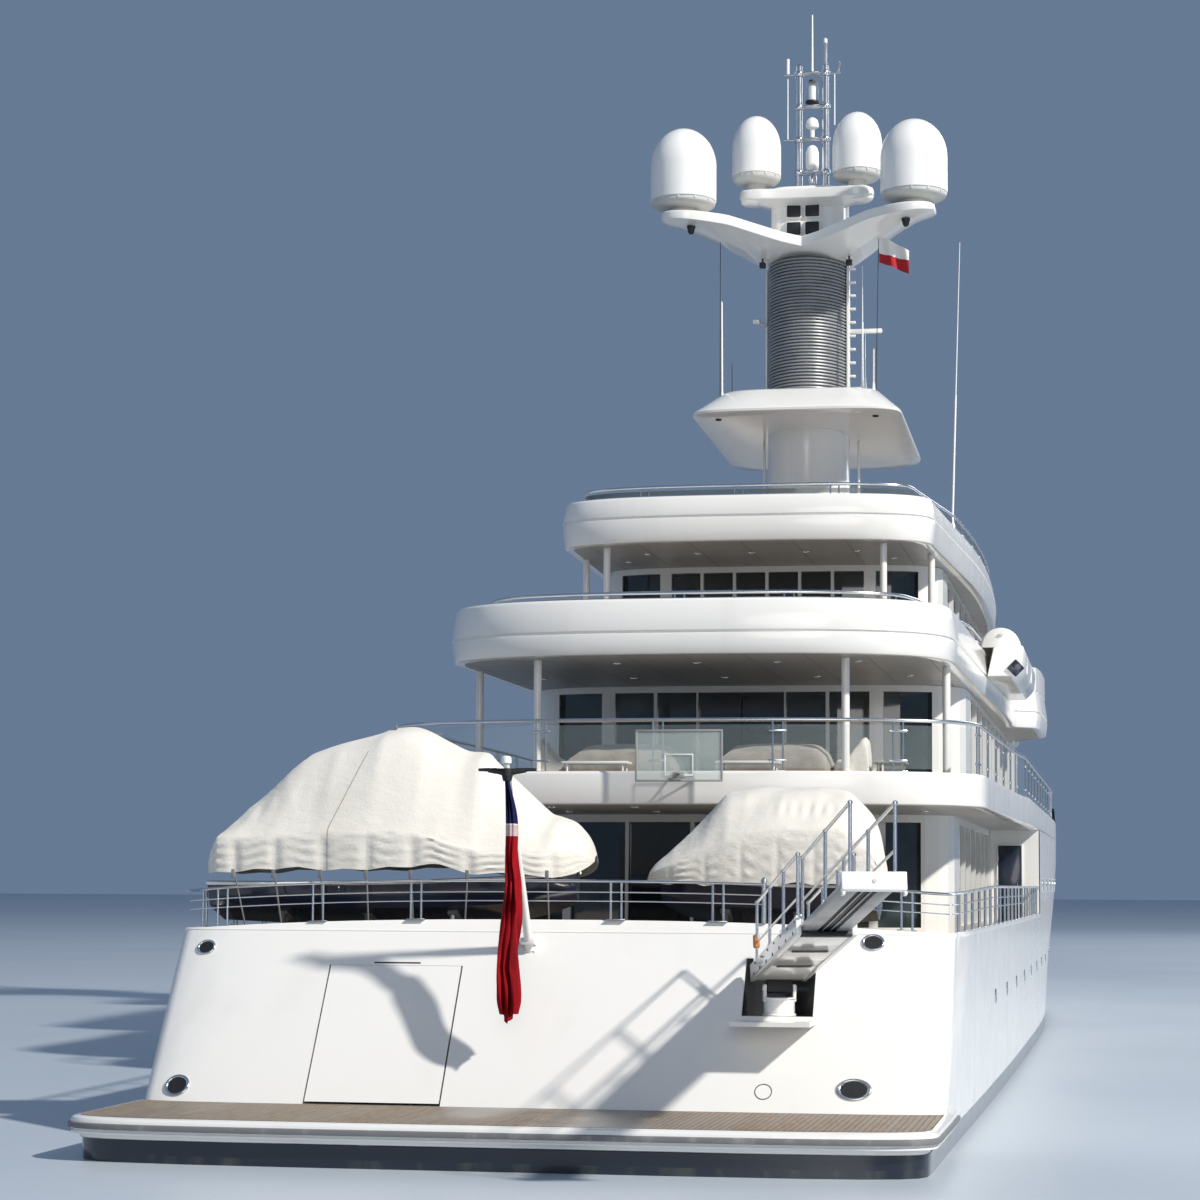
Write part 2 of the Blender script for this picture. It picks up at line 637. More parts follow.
# Fairleads: oval stainless rings let into the transom, polished and faintly brushed. The dark
# throat behind each has the near-black finish of the yacht's gaskets and shadowed openings.
steel = Finish("stainless", (0.72, 0.73, 0.74), 0.22, "stainless", Metallic=1.0)
brushing = steel.noise(300, 3, (1, 1, 0.08))
steel.feed("Roughness", brushing * 0.16 + 0.13)
steel.coloured(steel.noise(8, 5).ramp(0.45, 0.8) * 0.5, (0.74, 0.75, 0.76), (0.5, 0.5, 0.49))
black = Finish("black_recess", (0.012, 0.013, 0.014), 0.5, "dark_paint")
black.roughened(60, 4, 0.3, 0.35)
black.relief(black.noise(220, 3), 0.0003)


def on_transom(x, z):
    """Where a fitting lies on the transom: its own Z points aft, square to the plating."""
    step = 0.004
    here = Vector((x, transom_at(z, x), z))
    along = Vector((2 * step, transom_at(z, x + step) - transom_at(z, x - step), 0)).normalized()
    rise = Vector((0, TRANSOM_SLOPE, 1)).normalized()
    out = along.cross(rise)
    up = out.cross(along)
    return Matrix.Translation(here) @ Matrix((along, up, out)).transposed().to_4x4()


def spun(bm, profile, place=(0, 0, 0), steps=32, turn=None, scale=(1, 1, 1)):
    """A turned shape from (radius, height) points about the vertical, then turned and placed."""
    before = set(bm.verts)
    line = [bm.verts.new((radius, 0, height)) for radius, height in profile]
    edges = [bm.edges.new(pair) for pair in zip(line, line[1:])]
    geom = line + edges
    spin = dict(cent=(0, 0, 0), axis=(0, 0, 1), angle=math.tau, steps=steps, use_merge=True)
    bmesh.ops.spin(bm, geom=geom, **spin)
    made = added(bm, before)
    bmesh.ops.scale(bm, vec=scale, verts=made)
    if turn:
        bmesh.ops.transform(bm, matrix=turn, verts=made)
    bmesh.ops.translate(bm, vec=place, verts=made)
    return made


FAIRLEADS = (
    # across, height, half width, half height
    (-0.605, 0.315, 0.0175, 0.0150),
    (-0.600, 0.092, 0.0225, 0.0205),
    (0.532, 0.332, 0.0195, 0.0160),
    (0.515, 0.104, 0.0290, 0.0200),
)
rings, throats = bmesh.new(), bmesh.new()
LIP = [
    (0.86 + 0.14 * math.cos(math.radians(k * 30)), 0.11 * math.sin(math.radians(k * 30)))
    for k in range(13)
]
THROAT = [(0.0, 0.06), (0.8, 0.06), (0.8, -0.1)]
for x, z, wide, high in FAIRLEADS:
    seat = on_transom(x, z)
    spun(rings, LIP, turn=seat @ Matrix.Diagonal((wide, high, 0.024, 1)), steps=36)
    spun(throats, THROAT, turn=seat @ Matrix.Diagonal((wide, high, 0.02, 1)), steps=36)
piece("fairlead_rings", rings, steel)
piece("fairlead_throats", throats, black, outward=False)

# A flush round hatch to starboard, and the slot over the boarding door, are cut in the transom.
# Both show as the thin dark line of their gaskets.
HATCH_PLACE, SLOT_PLACE = (0.372, 0.099), (-0.262, 0.2925)
HATCH_GASKET = [(0.0126, 0.0002), (0.0134, 0.0006), (0.0142, 0.0002)]
hatch = bmesh.new()
spun(hatch, HATCH_GASKET, turn=on_transom(*HATCH_PLACE), steps=40)
sill = block(hatch, (-0.04, -0.0012, -0.0004), (0.04, 0.0012, 0.0009), bevel=0.0004)
bmesh.ops.transform(hatch, matrix=on_transom(*SLOT_PLACE), verts=sill)
piece("transom_marks", hatch, black)

# Ceilings over the open decks: painted panels with fine joints, screwed up under the plating.
# They are greyer than the topcoat.
soffit = Finish("soffit_panels", (0.62, 0.62, 0.6), 0.4, "white_paint")
PANEL = 0.13
joints = [(soffit.axis(name) / PANEL).apply("FRACT") < 0.018 for name in "XY"]
joint = joints[0].math("MAXIMUM", *joints)
soffit.coloured(joint + soffit.noise(2, 4) * 0.12, (0.47, 0.47, 0.46), (0.2, 0.2, 0.2))
soffit.roughened(30, 4, 0.15, 0.35)
soffit.relief(1 - joint, 0.0006)


def ceiling(name, half, height):
    panel = bmesh.new()
    sheet_of(panel, half, height)
    return piece(name, panel, soffit, outward=False)


# Upper deck: one plate from the aft overhang to the stem. Its edge is a plain white fascia with
# eased corners, and pillars of painted tube stand on it.
def both_sides(half):
    """The whole plan line of a half edge that starts and ends on the centreline."""
    return half + [(-x, y) for x, y in reversed(half) if x > 1e-4]


EDGE_MIDDLE, BOW_FROM = 0.62, 3.5  # height and station
UPPER_AFT, UPPER_CORNER, UPPER_HALF = 1.560, 1.890, 0.650


def upper_side(y):
    return UPPER_HALF + (y - UPPER_CORNER) * 0.023 if y < 3.1 else half_breadth(y, EDGE_MIDDLE)


BOW_RUN = [BOW_FROM + (stem_at(EDGE_MIDDLE) - BOW_FROM) * (1 - (1 - i / 60) ** 1.5) for i in range(61)]
upper_half = (
    rounded_end(UPPER_HALF, UPPER_AFT, UPPER_CORNER, 2.9, 24)
    + [(upper_side(y), y) for y in (2.1, 2.4, 2.7, 3.0, 3.3)]
    + [(half_breadth(y, EDGE_MIDDLE), y) for y in BOW_RUN]
)
fascia = bmesh.new()
FASCIA = (
    (0.030, 0.5900), (0.006, 0.5900), (0.0015, 0.5925), (0.0, 0.5965), (0.0, 0.6530),
    (0.0015, 0.6575), (0.005, 0.6600), (0.030, 0.6600),
)
swept(fascia, both_sides(upper_half), FASCIA, closed=True)

PILLAR = 0.009
PILLAR_FOOT = [(PILLAR, 0.003), (PILLAR * 1.5, 0.0015), (PILLAR * 1.55, 0)]
BRIDGE_SOFFIT = 0.919


def pillars(bm, posts, deck, ceiling_height):
    for x, y in posts:
        for side in (-1, 1):
            bar(bm, (side * x, y, deck - 0.002), (side * x, y, ceiling_height), PILLAR, 20)
            spun(bm, PILLAR_FOOT, (side * x, y, deck), 20)


pillars(fascia, ((0.342, 1.890), (0.542, 2.170)), UPPER_DECK, BRIDGE_SOFFIT)
piece("upper_deck_edge", fascia, paint_house, stands_for=["upper_deck"])
planked("upper_deck_teak", inboard(upper_half, 0.029), UPPER_DECK)
ceiling("upper_soffit", inboard([point for point in upper_half if point[1] < 4.2], 0.029), UPPER_SOFFIT)

# Bow bulwark: the side plating carried up above the foredeck to the stem head, welded on,
# lined inboard and closed by a narrow capping.
BOW_START, BOW_END = 6.15, 8.778
BOW_LOW, BOW_HIGH = 0.716, 0.790  # the capping's height at either end
BOW_STATIONS = [y for y in BOW_RUN if y > BOW_START] + [8.70, 8.735, 8.76, 8.777]


def bow_point(i, j):
    y, foot = BOW_STATIONS[j], UPPER_DECK
    top = BOW_LOW + (BOW_HIGH - BOW_LOW) * (y - BOW_START) / (BOW_END - BOW_START)
    outside = ((0, foot), (0, (foot + top) / 2), (0, top - 0.002), (0.002, top))
    inside = ((0.011, top), (0.013, top - 0.002), (0.013, foot))
    inset, z = (outside + inside)[i]
    return (max(0.0005, half_breadth(y, z) - inset), y, z)


bow = bmesh.new()
skin(bow, 6, len(BOW_STATIONS) - 1, bow_point)
bmesh.ops.mirror(bow, geom=bow.verts[:] + bow.edges[:] + bow.faces[:], axis="X", merge_dist=0.0006)
piece("bow_bulwark_skin", bow, paint_house, stands_for=["bow_bulwark"])

# Bridge deck and sun deck: deep moulded bands of faired plate run round each, in two steps with
# a shadow line between them. Aft of the houses they widen. Painted pillars carry them.
BRIDGE_SIDE = (
    # station, half-breadth
    (2.12, 0.574), (2.9, 0.585), (3.04, 0.588), (3.6, 0.600), (3.9, 0.606), (4.3, 0.607),
    (4.47, 0.610), (4.52, 0.666), (4.7, 0.682), (4.98, 0.684), (5.12, 0.676), (5.26, 0.600),
    (5.5, 0.575),
)
SUN_SIDE = (
    # station, half-breadth
    (2.81, 0.477), (3.25, 0.500), (3.7, 0.524), (4.1, 0.535), (4.6, 0.532), (5.0, 0.520),
    (5.4, 0.495),
)


def deck_half(aft, side, fore, steps):
    start, end = side[0][0], side[-1][0]
    even = [start + (end - start) * i / steps for i in range(1, steps)]
    run = sorted(even + [row[0] for row in side[1:-1]])
    along = [(between(side, y, 1), y) for y in run]
    return rounded_end(*aft, 24) + along + rounded_end(*fore, 24)[::-1]


def band_width(wide, start, end):
    def width(y):
        return wide + (0.026 - wide) * min(1.0, max(0.0, (y - start) / (end - start)))

    return width


def moulded_band(name, half, width, low, deck, groove, top, posts):
    def section(point):
        inner = width(point[1])
        return (
            (0.030, low),
            (0.013, low),
            (0.0085, low + 0.0015),
            (0.0062, low + 0.005),
            (0.0006, groove - 0.0025),
            (0.0014, groove),
            (0.0052, groove + 0.0008),
            (0.0052, groove + 0.0052),
            (0.0014, groove + 0.006),
            (0.0008, groove + 0.0085),
            (0.0088, top - 0.006),
            (0.0112, top - 0.0014),
            (0.0155, top + 0.0006),
            (inner - 0.004, top + 0.0035),
            (inner, top + 0.0005),
            (inner, deck),
        )

    band = bmesh.new()
    swept(band, both_sides(half), section, closed=True)
    pillars(band, posts, deck, SUN_SOFFIT)
    piece(name + "_band", band, paint_house, stands_for=[name + "_deck"])


BRIDGE_DECK, BRIDGE_TOP = 0.955, 1.040
SUN_SOFFIT, SUN_DECK, SUN_TOP = 1.275, 1.315, 1.390
BRIDGE_PILLARS = ((0.350, 2.720), (0.452, 2.960))
bridge_half = deck_half((0.574, 1.750, 2.120, 2.9), BRIDGE_SIDE, (0.575, 6.330, 5.5, 2.3), 56)
sun_half = deck_half((0.477, 2.610, 2.810, 3.0), SUN_SIDE, (0.495, 6.080, 5.4, 2.3), 40)
bridge_width, sun_width = band_width(0.104, 2.0, 2.7), band_width(0.070, 2.75, 3.3)
BANDS = (
    # name, deck's edge, width of the band, soffit, deck, groove, top, pillars
    ("bridge", bridge_half, bridge_width, BRIDGE_SOFFIT, BRIDGE_DECK, 0.965, BRIDGE_TOP, BRIDGE_PILLARS),
    ("sun", sun_half, sun_width, SUN_SOFFIT, SUN_DECK, 1.335, SUN_TOP, ()),
)
for band in BANDS:
    moulded_band(*band)
for name, half, width, under, deck, *_ in BANDS:
    start, end = half[0][1] + width(half[0][1]), half[-1][1] - 0.026
    inner = [(max(0.0, x - width(y) + 0.002), y) for x, y in half if start < y < end]
    inner = [(0.0, inner[0][1])] + inner + [(0.0, inner[-1][1])]
    planked(name + "_deck_teak", inner, deck)
    ceiling(name + "_soffit", inboard(half, 0.012), under + 0.0005)

# Recessed downlights: a stainless ring round a frosted lens, let into the ceilings over the
# three open decks in rows across the ship.
DOWNLIGHTS = (
    # ceiling height, station, places across
    (UPPER_SOFFIT, 1.72, (-0.45, -0.27, -0.09, 0.09, 0.27, 0.45)),
    (UPPER_SOFFIT, 2.05, (-0.5, -0.3, -0.1, 0.1, 0.3, 0.5)),
    (BRIDGE_SOFFIT, 1.98, (-0.36, -0.18, 0.0, 0.18, 0.36)),
    (BRIDGE_SOFFIT, 2.4, (-0.44, -0.22, 0.0, 0.22, 0.44)),
    (SUN_SOFFIT, 2.86, (-0.27, -0.14, 0.0, 0.14, 0.27)),
    (SUN_SOFFIT, 3.02, (-0.35, 0.35)),
)
BEZEL = [(0.0062, 0.0), (0.0064, -0.0014), (0.0092, -0.0012), (0.0096, 0.0)]
LENS = [(0.0, -0.0002), (0.0062, -0.0004), (0.0063, 0.0)]
lens = Finish("frosted_lens", (0.55, 0.55, 0.52), 0.35, "tinted_glass")
lens.roughened(200, 3, 0.2, 0.25)
bezels, lenses = bmesh.new(), bmesh.new()
for height, y, places in DOWNLIGHTS:
    for x in places:
        spun(bezels, BEZEL, (x, y, height), 20)
        spun(lenses, LENS, (x, y, height), 20)
piece("downlight_bezels", bezels, steel)
piece("downlight_lenses", lenses, lens)

# Windows: dark solar glass, bonded into the houses, that mirrors the sky and shows a trace of
# the room behind. The rings of glass and the sliding doors keep the shape of their CAD nodes.
glass = Finish("solar_glass", (0.016, 0.024, 0.026), 0.04, "tinted_glass", Specular_IOR_Level=0.85)
rooms = glass.noise(2.6, 3, (1, 1, 1.6)).ramp(0.42, 0.7)
glass.coloured(rooms, (0.010, 0.015, 0.017), (0.045, 0.062, 0.064))
glass.roughened(24, 4, 0.05, 0.02)
glass.relief(glass.noise(1.2, 1), 0.003)


def repaint(finish, *nodes):
    """A CAD node that keeps its shape takes a finish of its own."""
    for name in nodes:
        node = bpy.data.objects[name]
        node.data.materials.clear()
        node.data.materials.append(finish.material)


# Windscreens: the two house fronts are glazed right round in flat panes of the same glass,
# bonded over the plating edge to edge.
HOUSE_FRONTS = (
    # plan of the front, sill, head, how far out the last pane reaches
    (rounded_end(0.550, 6.250, 5.700, 2.4, 8), 0.720, 0.903, 0.53),
    (rounded_end(0.462, 5.950, 5.350, 2.2, 8), 1.075, 1.259, 0.455),
)
PANE_GAP, PANE_THICK = 0.003, 0.0024
panes = bmesh.new()
for front, low, high, reach in HOUSE_FRONTS:
    for half in (front, [(-x, y) for x, y in front]):
        for (xa, ya), (xb, yb) in zip(half, half[1:]):
            if abs(xb) > reach:
                continue
            run = Vector((xb - xa, yb - ya, 0))
            along, end = run.normalized(), run.length / 2 - PANE_GAP
            ahead = Vector((-along.y, along.x, 0)) * (1 if along.x > 0 else -1)
            seat = Matrix((along, ahead, Vector((0, 0, 1)))).transposed().to_4x4()
            stand = Matrix.Translation(((xa + xb) / 2, (ya + yb) / 2, 0)) @ seat
            made = block(panes, (-end, 0.0, low), (end, PANE_THICK, high), bevel=0.0008)
            bmesh.ops.transform(panes, matrix=stand, verts=made)
piece("windscreens", panes, glass)
repaint(glass, "main_glass", "main_door", "upper_glass", "upper_door_port", "upper_door_stbd", "bridge_glass")
repaint(paint_house, "main_house", "upper_house", "bridge_house", "transom_door", "passerelle_shelf")


# Railings: a wide flat handrail on paired stainless stanchions, welded to small foot plates. The
# main deck's has two thin bars under it and a gap for the gangway.
def tube(inset, height, wide, high, sides=8):
    turns = [math.tau * k / sides for k in range(sides + 1)]
    return [(inset + wide * math.cos(a), height + high * math.sin(a)) for a in turns]


def spaced(path, spacing, start=0.5):
    """Points along a plan path at even spacing, each with its heading."""
    found, left = [], spacing * start
    for (x0, y0), (x1, y1) in zip(path, path[1:]):
        length = math.hypot(x1 - x0, y1 - y0)
        while left < length:
            share = left / length
            heading = math.atan2(y1 - y0, x1 - x0)
            found.append((x0 + (x1 - x0) * share, y0 + (y1 - y0) * share, heading))
            left += spacing
        left -= length
    return found


def box_about(bm, middle, half, turn=None, bevel=0.0):
    """A box by its middle and its half sizes."""
    middle, half = Vector(middle), Vector(half)
    return block(bm, middle - half, middle + half, turn, bevel)


def stanchions(bm, line, spacing, foot, top, spread=0.009, radius=0.0021):
    for x, y, heading in spaced(line, spacing):
        along = Vector((math.cos(heading), math.sin(heading), 0))
        here = Vector((x, y, 0))
        for way in (-spread, spread):
            post = here + along * way
            bar(bm, post + Vector((0, 0, foot)), post + Vector((0, 0, top)), radius, 8)
        turn = Matrix.Rotation(heading, 4, "Z")
        box_about(bm, (x, y, foot), (spread + 0.007, 0.005, 0.001), turn, 0.0004)


def moved_in(line, distance):
    """An open plan line moved to its left."""
    moved = []
    for k, (x, y) in enumerate(line):
        run = (Vector(line[min(k + 1, len(line) - 1)]) - Vector(line[max(k - 1, 0)])).normalized()
        moved.append((x - run.y * distance, y + run.x * distance))
    return moved


# Crown of the stern bulwark: a low strip of plate over the capping. It rises towards the middle,
# and the railing follows it.
def rings_skin(bm, rings):
    """A skin through closed rings of points, pinched shut at both ends."""
    count = len(rings[0])
    ends = [[sum((Vector(point) for point in rings[k]), Vector()) / count] * count for k in (0, -1)]
    rings = [ends[0], *rings, ends[1]]
    return skin(bm, count, len(rings) - 1, lambda i, j: rings[j][i % count])


CROWN, CROWN_HALF = 0.0195, 0.655


def crowned(x):
    return CROWN * (1 - min(1.0, abs(x) / CROWN_HALF) ** 2.5)


def crown_ring(x):
    top = BULWARK + crowned(x)
    aft, foot = transom_at(top, x) - 0.0002, transom_at(BULWARK, x) - 0.0002
    return [
        (x, foot, BULWARK - 0.0006),
        (x, aft - 0.001, top - 0.002),
        (x, aft + 0.001, top),
        (x, aft + 0.013, top),
        (x, aft + 0.015, top - 0.002),
        (x, foot + 0.015, BULWARK - 0.0006),
    ]


crown = bmesh.new()
crown_rings = [crown_ring(CROWN_HALF * k / 24) for k in range(-24, 25)]
rings_skin(crown, crown_rings)
piece("stern_bulwark_crown", crown, paint_hull)
GATE = (0.350, 0.500)
RAIL_TOP, RAIL_DROP, RAIL_INSET, RAIL_FOOT = 0.427, 0.014, 0.008, 0.3478
RAIL_BARS, POST_SPACING = (0.3845, 0.4025), 0.172
RAIL_KNOB = [(0.0, 0.006), (0.005, 0.003), (0.0058, 0), (0.004, -0.004)]
gate_station = transom_at(BULWARK, GATE[0])
port_rail = [p for p in stern_line if p[0] < GATE[0]] + [(GATE[0], gate_station)]
starboard_rail = [(GATE[1], transom_at(BULWARK, GATE[1]))] + [p for p in stern_line if p[0] > GATE[1]]
for name, line, node in (
    ("stern_rail_port", port_rail, "main_rail_port"),
    ("stern_rail_stbd", starboard_rail, "main_rail_stbd"),
):
    line = moved_in(line, RAIL_INSET)
    rail = bmesh.new()
    swept(rail, line, tube(0, RAIL_TOP - 0.003, 0.0078, 0.003, 12))
    for height in RAIL_BARS:
        swept(rail, line, tube(0, height, 0.0014, 0.0014, 6))
    stanchions(rail, line, POST_SPACING, RAIL_FOOT, RAIL_TOP - 0.003)
    end = line[-1] if node == "main_rail_port" else line[0]
    bar(rail, (*end, 0.347), (*end, RAIL_TOP + 0.004), 0.004, 16)
    spun(rail, RAIL_KNOB, (*end, RAIL_TOP + 0.004), 16)
    for vert in rail.verts:
        astern = min(1.0, max(0.0, (1.6 - vert.co.y) / 1.1))
        height = min(1.0, max(0.0, (vert.co.z - BULWARK) / (RAIL_TOP - BULWARK)))
        vert.co.z += crowned(vert.co.x) * astern - RAIL_DROP * astern * height
    piece(name, rail, steel, stands_for=[node])

# Guards of the decks above: a round stainless handrail over panes of glass, which small clips
# hold to paired stanchions. The upper deck's panes are clear, and the others are smoked.
pane = Finish("rail_glass", (0.42, 0.5, 0.5), 0.03, "clear_board", Alpha=0.1, Specular_IOR_Level=0.6)
pane.roughened(20, 4, 0.08, 0.02)
smoked = Finish("smoked_glass", (0.1, 0.12, 0.13), 0.05, "tinted_glass", Alpha=0.62, Specular_IOR_Level=0.7)
smoked.roughened(20, 4, 0.08, 0.03)


def guard_line(half, end, width):
    """The open line inside a deck's edge, as far forward as a station."""
    kept = [point for point in half if point[1] < end]
    insets = [width(y) - 0.010 if callable(width) else width for x, y in kept]
    return open_line([inboard(half, inset)[k] for k, inset in enumerate(insets)])


def glazed_rail(name, half, end, width, foot, top, spacing, finish, clip):
    line = guard_line(half, end, width)
    rail, panes = bmesh.new(), bmesh.new()
    swept(rail, line, tube(0, top - 0.004, 0.004, 0.004, 12))
    stanchions(rail, line, spacing, foot, top - 0.006, 0.0105, 0.0019)
    for x, y, heading in spaced(line, spacing):
        turn = Matrix.Rotation(heading, 4, "Z")
        for height in (foot + (top - foot) * share for share in clip):
            box_about(rail, (x, y, height), (0.019, 0.0022, 0.0022), turn, 0.0005)
    thin = 0.0008
    low, high = foot + 0.006, top - 0.014
    swept(panes, line, ((-thin, low), (-thin, high), (thin, high), (thin, low), (-thin, low)))
    piece(name + "_guard", rail, steel, stands_for=[name + "_rail"])
    piece(name + "_guard_panes", panes, finish, outward=False)


for guard in (
    # name, deck's edge, forward end, distance inboard, foot, top, spacing, panes, heights of clips
    ("upper", upper_half, 6.0, 0.014, UPPER_DECK, 0.770, 0.25, pane, (0.2, 0.76)),
    ("bridge", bridge_half, 3.05, bridge_width, BRIDGE_TOP + 0.003, 1.065, 0.24, smoked, ()),
    ("sun", sun_half, 4.62, sun_width, SUN_TOP + 0.003, 1.425, 0.24, smoked, ()),
):
    glazed_rail(*guard)

# Mast: welded aluminium, painted. A smooth oval trunk carries a flat-topped collar on two thin
# struts, a louvred drum over the exhausts, and the swept crosstree.
MAST, OVAL = (0, 4.110, 0), (0.124, 0.168, 1)
TRUNK_OUTLINE = [(1.07, 1.3155), (1.07, 1.320), (1.02, 1.3225), (1.0, 1.330), (1.0, 1.79)]
trunk = bmesh.new()
spun(trunk, TRUNK_OUTLINE, MAST, 72, scale=OVAL)
piece("mast_trunk_skin", trunk, paint_house, stands_for=["mast_trunk"])


def collar_ring(half_width, aft, fore, height, lift):
    half = rounded_end(half_width, aft, aft + 0.130, 4, 12)
    half += rounded_end(half_width, fore, fore - 0.200, 4, 12)[::-1]
    return [(x, y, height + lift * (fore - y) / (fore - aft)) for x, y in both_sides(half)]


COLLAR = (
    # half-breadth, aft, fore, height, lift of the aft edge
    (0.252, 3.760, 4.600, 1.7620, 0.028),
    (0.298, 3.709, 4.651, 1.7632, 0.029),
    (0.306, 3.701, 4.659, 1.7672, 0.029),
    (0.307, 3.700, 4.660, 1.7735, 0.029),
    (0.303, 3.705, 4.655, 1.7785, 0.029),
    (0.235, 3.816, 4.564, 1.8755, 0.0),
    (0.228, 3.823, 4.557, 1.8800, 0.0),
)
SCANNER = (0, 4.430, 0)
SCANNER_POST = [(0.034, 1.879), (0.034, 1.884), (0.026, 1.89), (0.024, 1.93), (0.033, 1.938)]
SCANNER_POST += [(0.033, 1.9585), (0.0, 1.9585)]
collar = bmesh.new()
rings_skin(collar, [collar_ring(*size) for size in COLLAR])
for side in (-1, 1):
    bar(collar, (side * 0.145, 4.170, SUN_DECK), (side * 0.145, 4.170, 1.785), 0.004, 16)
    bar(collar, (side * 0.19, 4.43, 1.879), (side * 0.17, 4.43, 1.9), 0.006, 12)
spun(collar, SCANNER_POST, SCANNER, 32)
piece("mast_collar_skin", collar, paint_house, stands_for=["mast_collar"])
COLLAR_LAMP = [(0.0, -0.004), (0.007, -0.0035), (0.0095, -0.001), (0.0105, 0.003)]
deep_lamps = bmesh.new()
for x in (-0.231, 0.231):
    spun(deep_lamps, COLLAR_LAMP, (x, 3.80, 1.7885), 20)
piece("collar_lamps", deep_lamps, black)

# Louvred drum: soot-marked alloy slats in rings round the exhausts, riveted to an oval frame that
# stands on the collar.
louvre = Finish("louvre_slats", (0.3, 0.31, 0.32), 0.45, "louvre_metal", Metallic=0.25)
slat_soot = louvre.noise(14, 5, (1, 1, 2)).ramp(0.45, 0.75)
louvre.coloured(slat_soot * 0.5, (0.32, 0.33, 0.34), (0.17, 0.18, 0.19))
louvre.roughened(90, 4, 0.2, 0.36, (1, 1, 0.2))
SLATS, DRUM_LOW, DRUM_TOP = 42, 1.8803, 2.2997
# share of the oval, and height above the slat's foot
SLAT = ((0.93, 0), (0.93, 0.0028), (0.99, 0.0034), (1.0, 0.0048), (0.996, 0.0086), (0.97, 0.0096))
slat_feet = [DRUM_LOW + k * (DRUM_TOP - DRUM_LOW) / SLATS for k in range(SLATS)]
slats = [(share, foot + height) for foot in slat_feet for share, height in SLAT]
drum = bmesh.new()
spun(drum, [(0.0, DRUM_LOW), *slats, (0.93, DRUM_TOP), (0.0, DRUM_TOP)], MAST, 64, scale=OVAL)
piece("mast_louvre_drum", drum, louvre, stands_for=["mast_louvre"])

# Ladder: painted alloy treads on a rail up the drum's starboard side, with a bracket arm. A cable
# duct and a lamp stand to port, and two floodlights under the crosstree.
LADDER_FOOT, LADDER_TOP = 1.881, 2.299
RUNG_FIRST, RUNG_PITCH, RUNG_COUNT = 1.915, 0.041, 10
ladder = bmesh.new()
block(ladder, (0.1195, 4.055, LADDER_FOOT), (0.1285, 4.085, LADDER_TOP), bevel=0.001)
for k in range(RUNG_COUNT):
    z = RUNG_FIRST + k * RUNG_PITCH
    block(ladder, (0.127, 4.058, z), (0.146, 4.082, z + 0.005), bevel=0.001)
block(ladder, (0.126, 4.060, 2.088), (0.226, 4.075, 2.101), bevel=0.002)
block(ladder, (-0.1315, 4.09, LADDER_FOOT), (-0.1255, 4.12, LADDER_TOP), bevel=0.001)
bar(ladder, (-0.125, 4.09, 2.122), (-0.145, 4.06, 2.130), 0.0045, 12, 0.006)
block(ladder, (-0.163, 4.030, 2.123), (-0.142, 4.062, 2.137), Matrix.Rotation(0.25, 4, "X"), 0.003)
piece("mast_ladder", ladder, paint_house)
floods = bmesh.new()
for x in (-0.128, 0.134):
    box_about(floods, (x, 3.995, 2.290), (0.009, 0.010, 0.008), bevel=0.002)
    bar(floods, (x, 3.995, 2.296), (x, 3.995, 2.31), 0.003)
piece("mast_floodlights", floods, black)


# Crosstree: a swept beam of welded alloy across the drum's top. It is thickest in the middle, and
# its raised tips carry the two larger satellite domes.
def winged(bm, rows, ease):
    """A beam across the ship: rows of (across, aft station, fore station, low, high, aft face)."""
    columns = [rows[-1][0] * math.sin(k / 24 * math.pi / 2) for k in range(-24, 25)]

    def ring(x):
        aft, fore, low, high, face = (between(rows, abs(x), column) for column in range(1, 6))
        run = (fore - aft) * 0.3
        return [
            (x, aft + run, low),
            (x, fore - run, low),
            (x, fore, high - 0.6 * face),
            (x, fore, high - ease),
            (x, fore - ease, high),
            (x, aft + ease, high),
            (x, aft, high - ease),
            (x, aft, high - face + ease),
            (x, aft + 0.4 * ease, high - face),
        ]

    return rings_skin(bm, [ring(x) for x in columns])


CROSSTREE = (
    # across, aft station, fore station, low, high, aft face
    (0.0, 3.912, 4.330, 2.3005, 2.356, 0.030),
    (0.050, 3.890, 4.325, 2.3015, 2.364, 0.030),
    (0.120, 3.850, 4.285, 2.308, 2.380, 0.030),
    (0.200, 3.801, 4.175, 2.332, 2.398, 0.029),
    (0.215, 3.791, 4.150, 2.338, 2.400, 0.029),
    (0.300, 3.744, 4.010, 2.364, 2.403, 0.027),
    (0.356, 3.738, 3.915, 2.374, 2.4045, 0.024),
    (0.392, 3.756, 3.890, 2.381, 2.4045, 0.020),
    (0.404, 3.785, 3.868, 2.386, 2.4045, 0.015),
)
crosstree = bmesh.new()
winged(crosstree, CROSSTREE, 0.003)
piece("mast_crosstree_skin", crosstree, paint_house, stands_for=["mast_crosstree"], smooth=24)

# Head block over the crosstree: it faces aft with four dark lamps, and its short arms carry the
# two smaller satellite domes.
HEAD_ARMS = (
    # across, aft station, fore station, low, high, aft face
    (0.0, 3.985, 4.150, 2.468, 2.5215, 0.030),
    (0.090, 3.982, 4.140, 2.476, 2.5215, 0.030),
    (0.150, 3.978, 4.112, 2.488, 2.5215, 0.029),
    (0.190, 3.990, 4.096, 2.496, 2.5215, 0.024),
    (0.202, 4.015, 4.075, 2.502, 2.5215, 0.018),
)
head = bmesh.new()
winged(head, HEAD_ARMS, 0.003)
head_half = rounded_end(0.113, 4.030, 4.090, 4, 10) + rounded_end(0.113, 4.260, 4.180, 3, 10)[::-1]
head_rings = [[(x, y, z) for x, y in both_sides(head_half)] for z in (2.335, 2.43, 2.534)]
head_rings.append([(x * 0.96, 4.145 + (y - 4.145) * 0.96, 2.540) for x, y, _ in head_rings[0]])
rings_skin(head, head_rings)
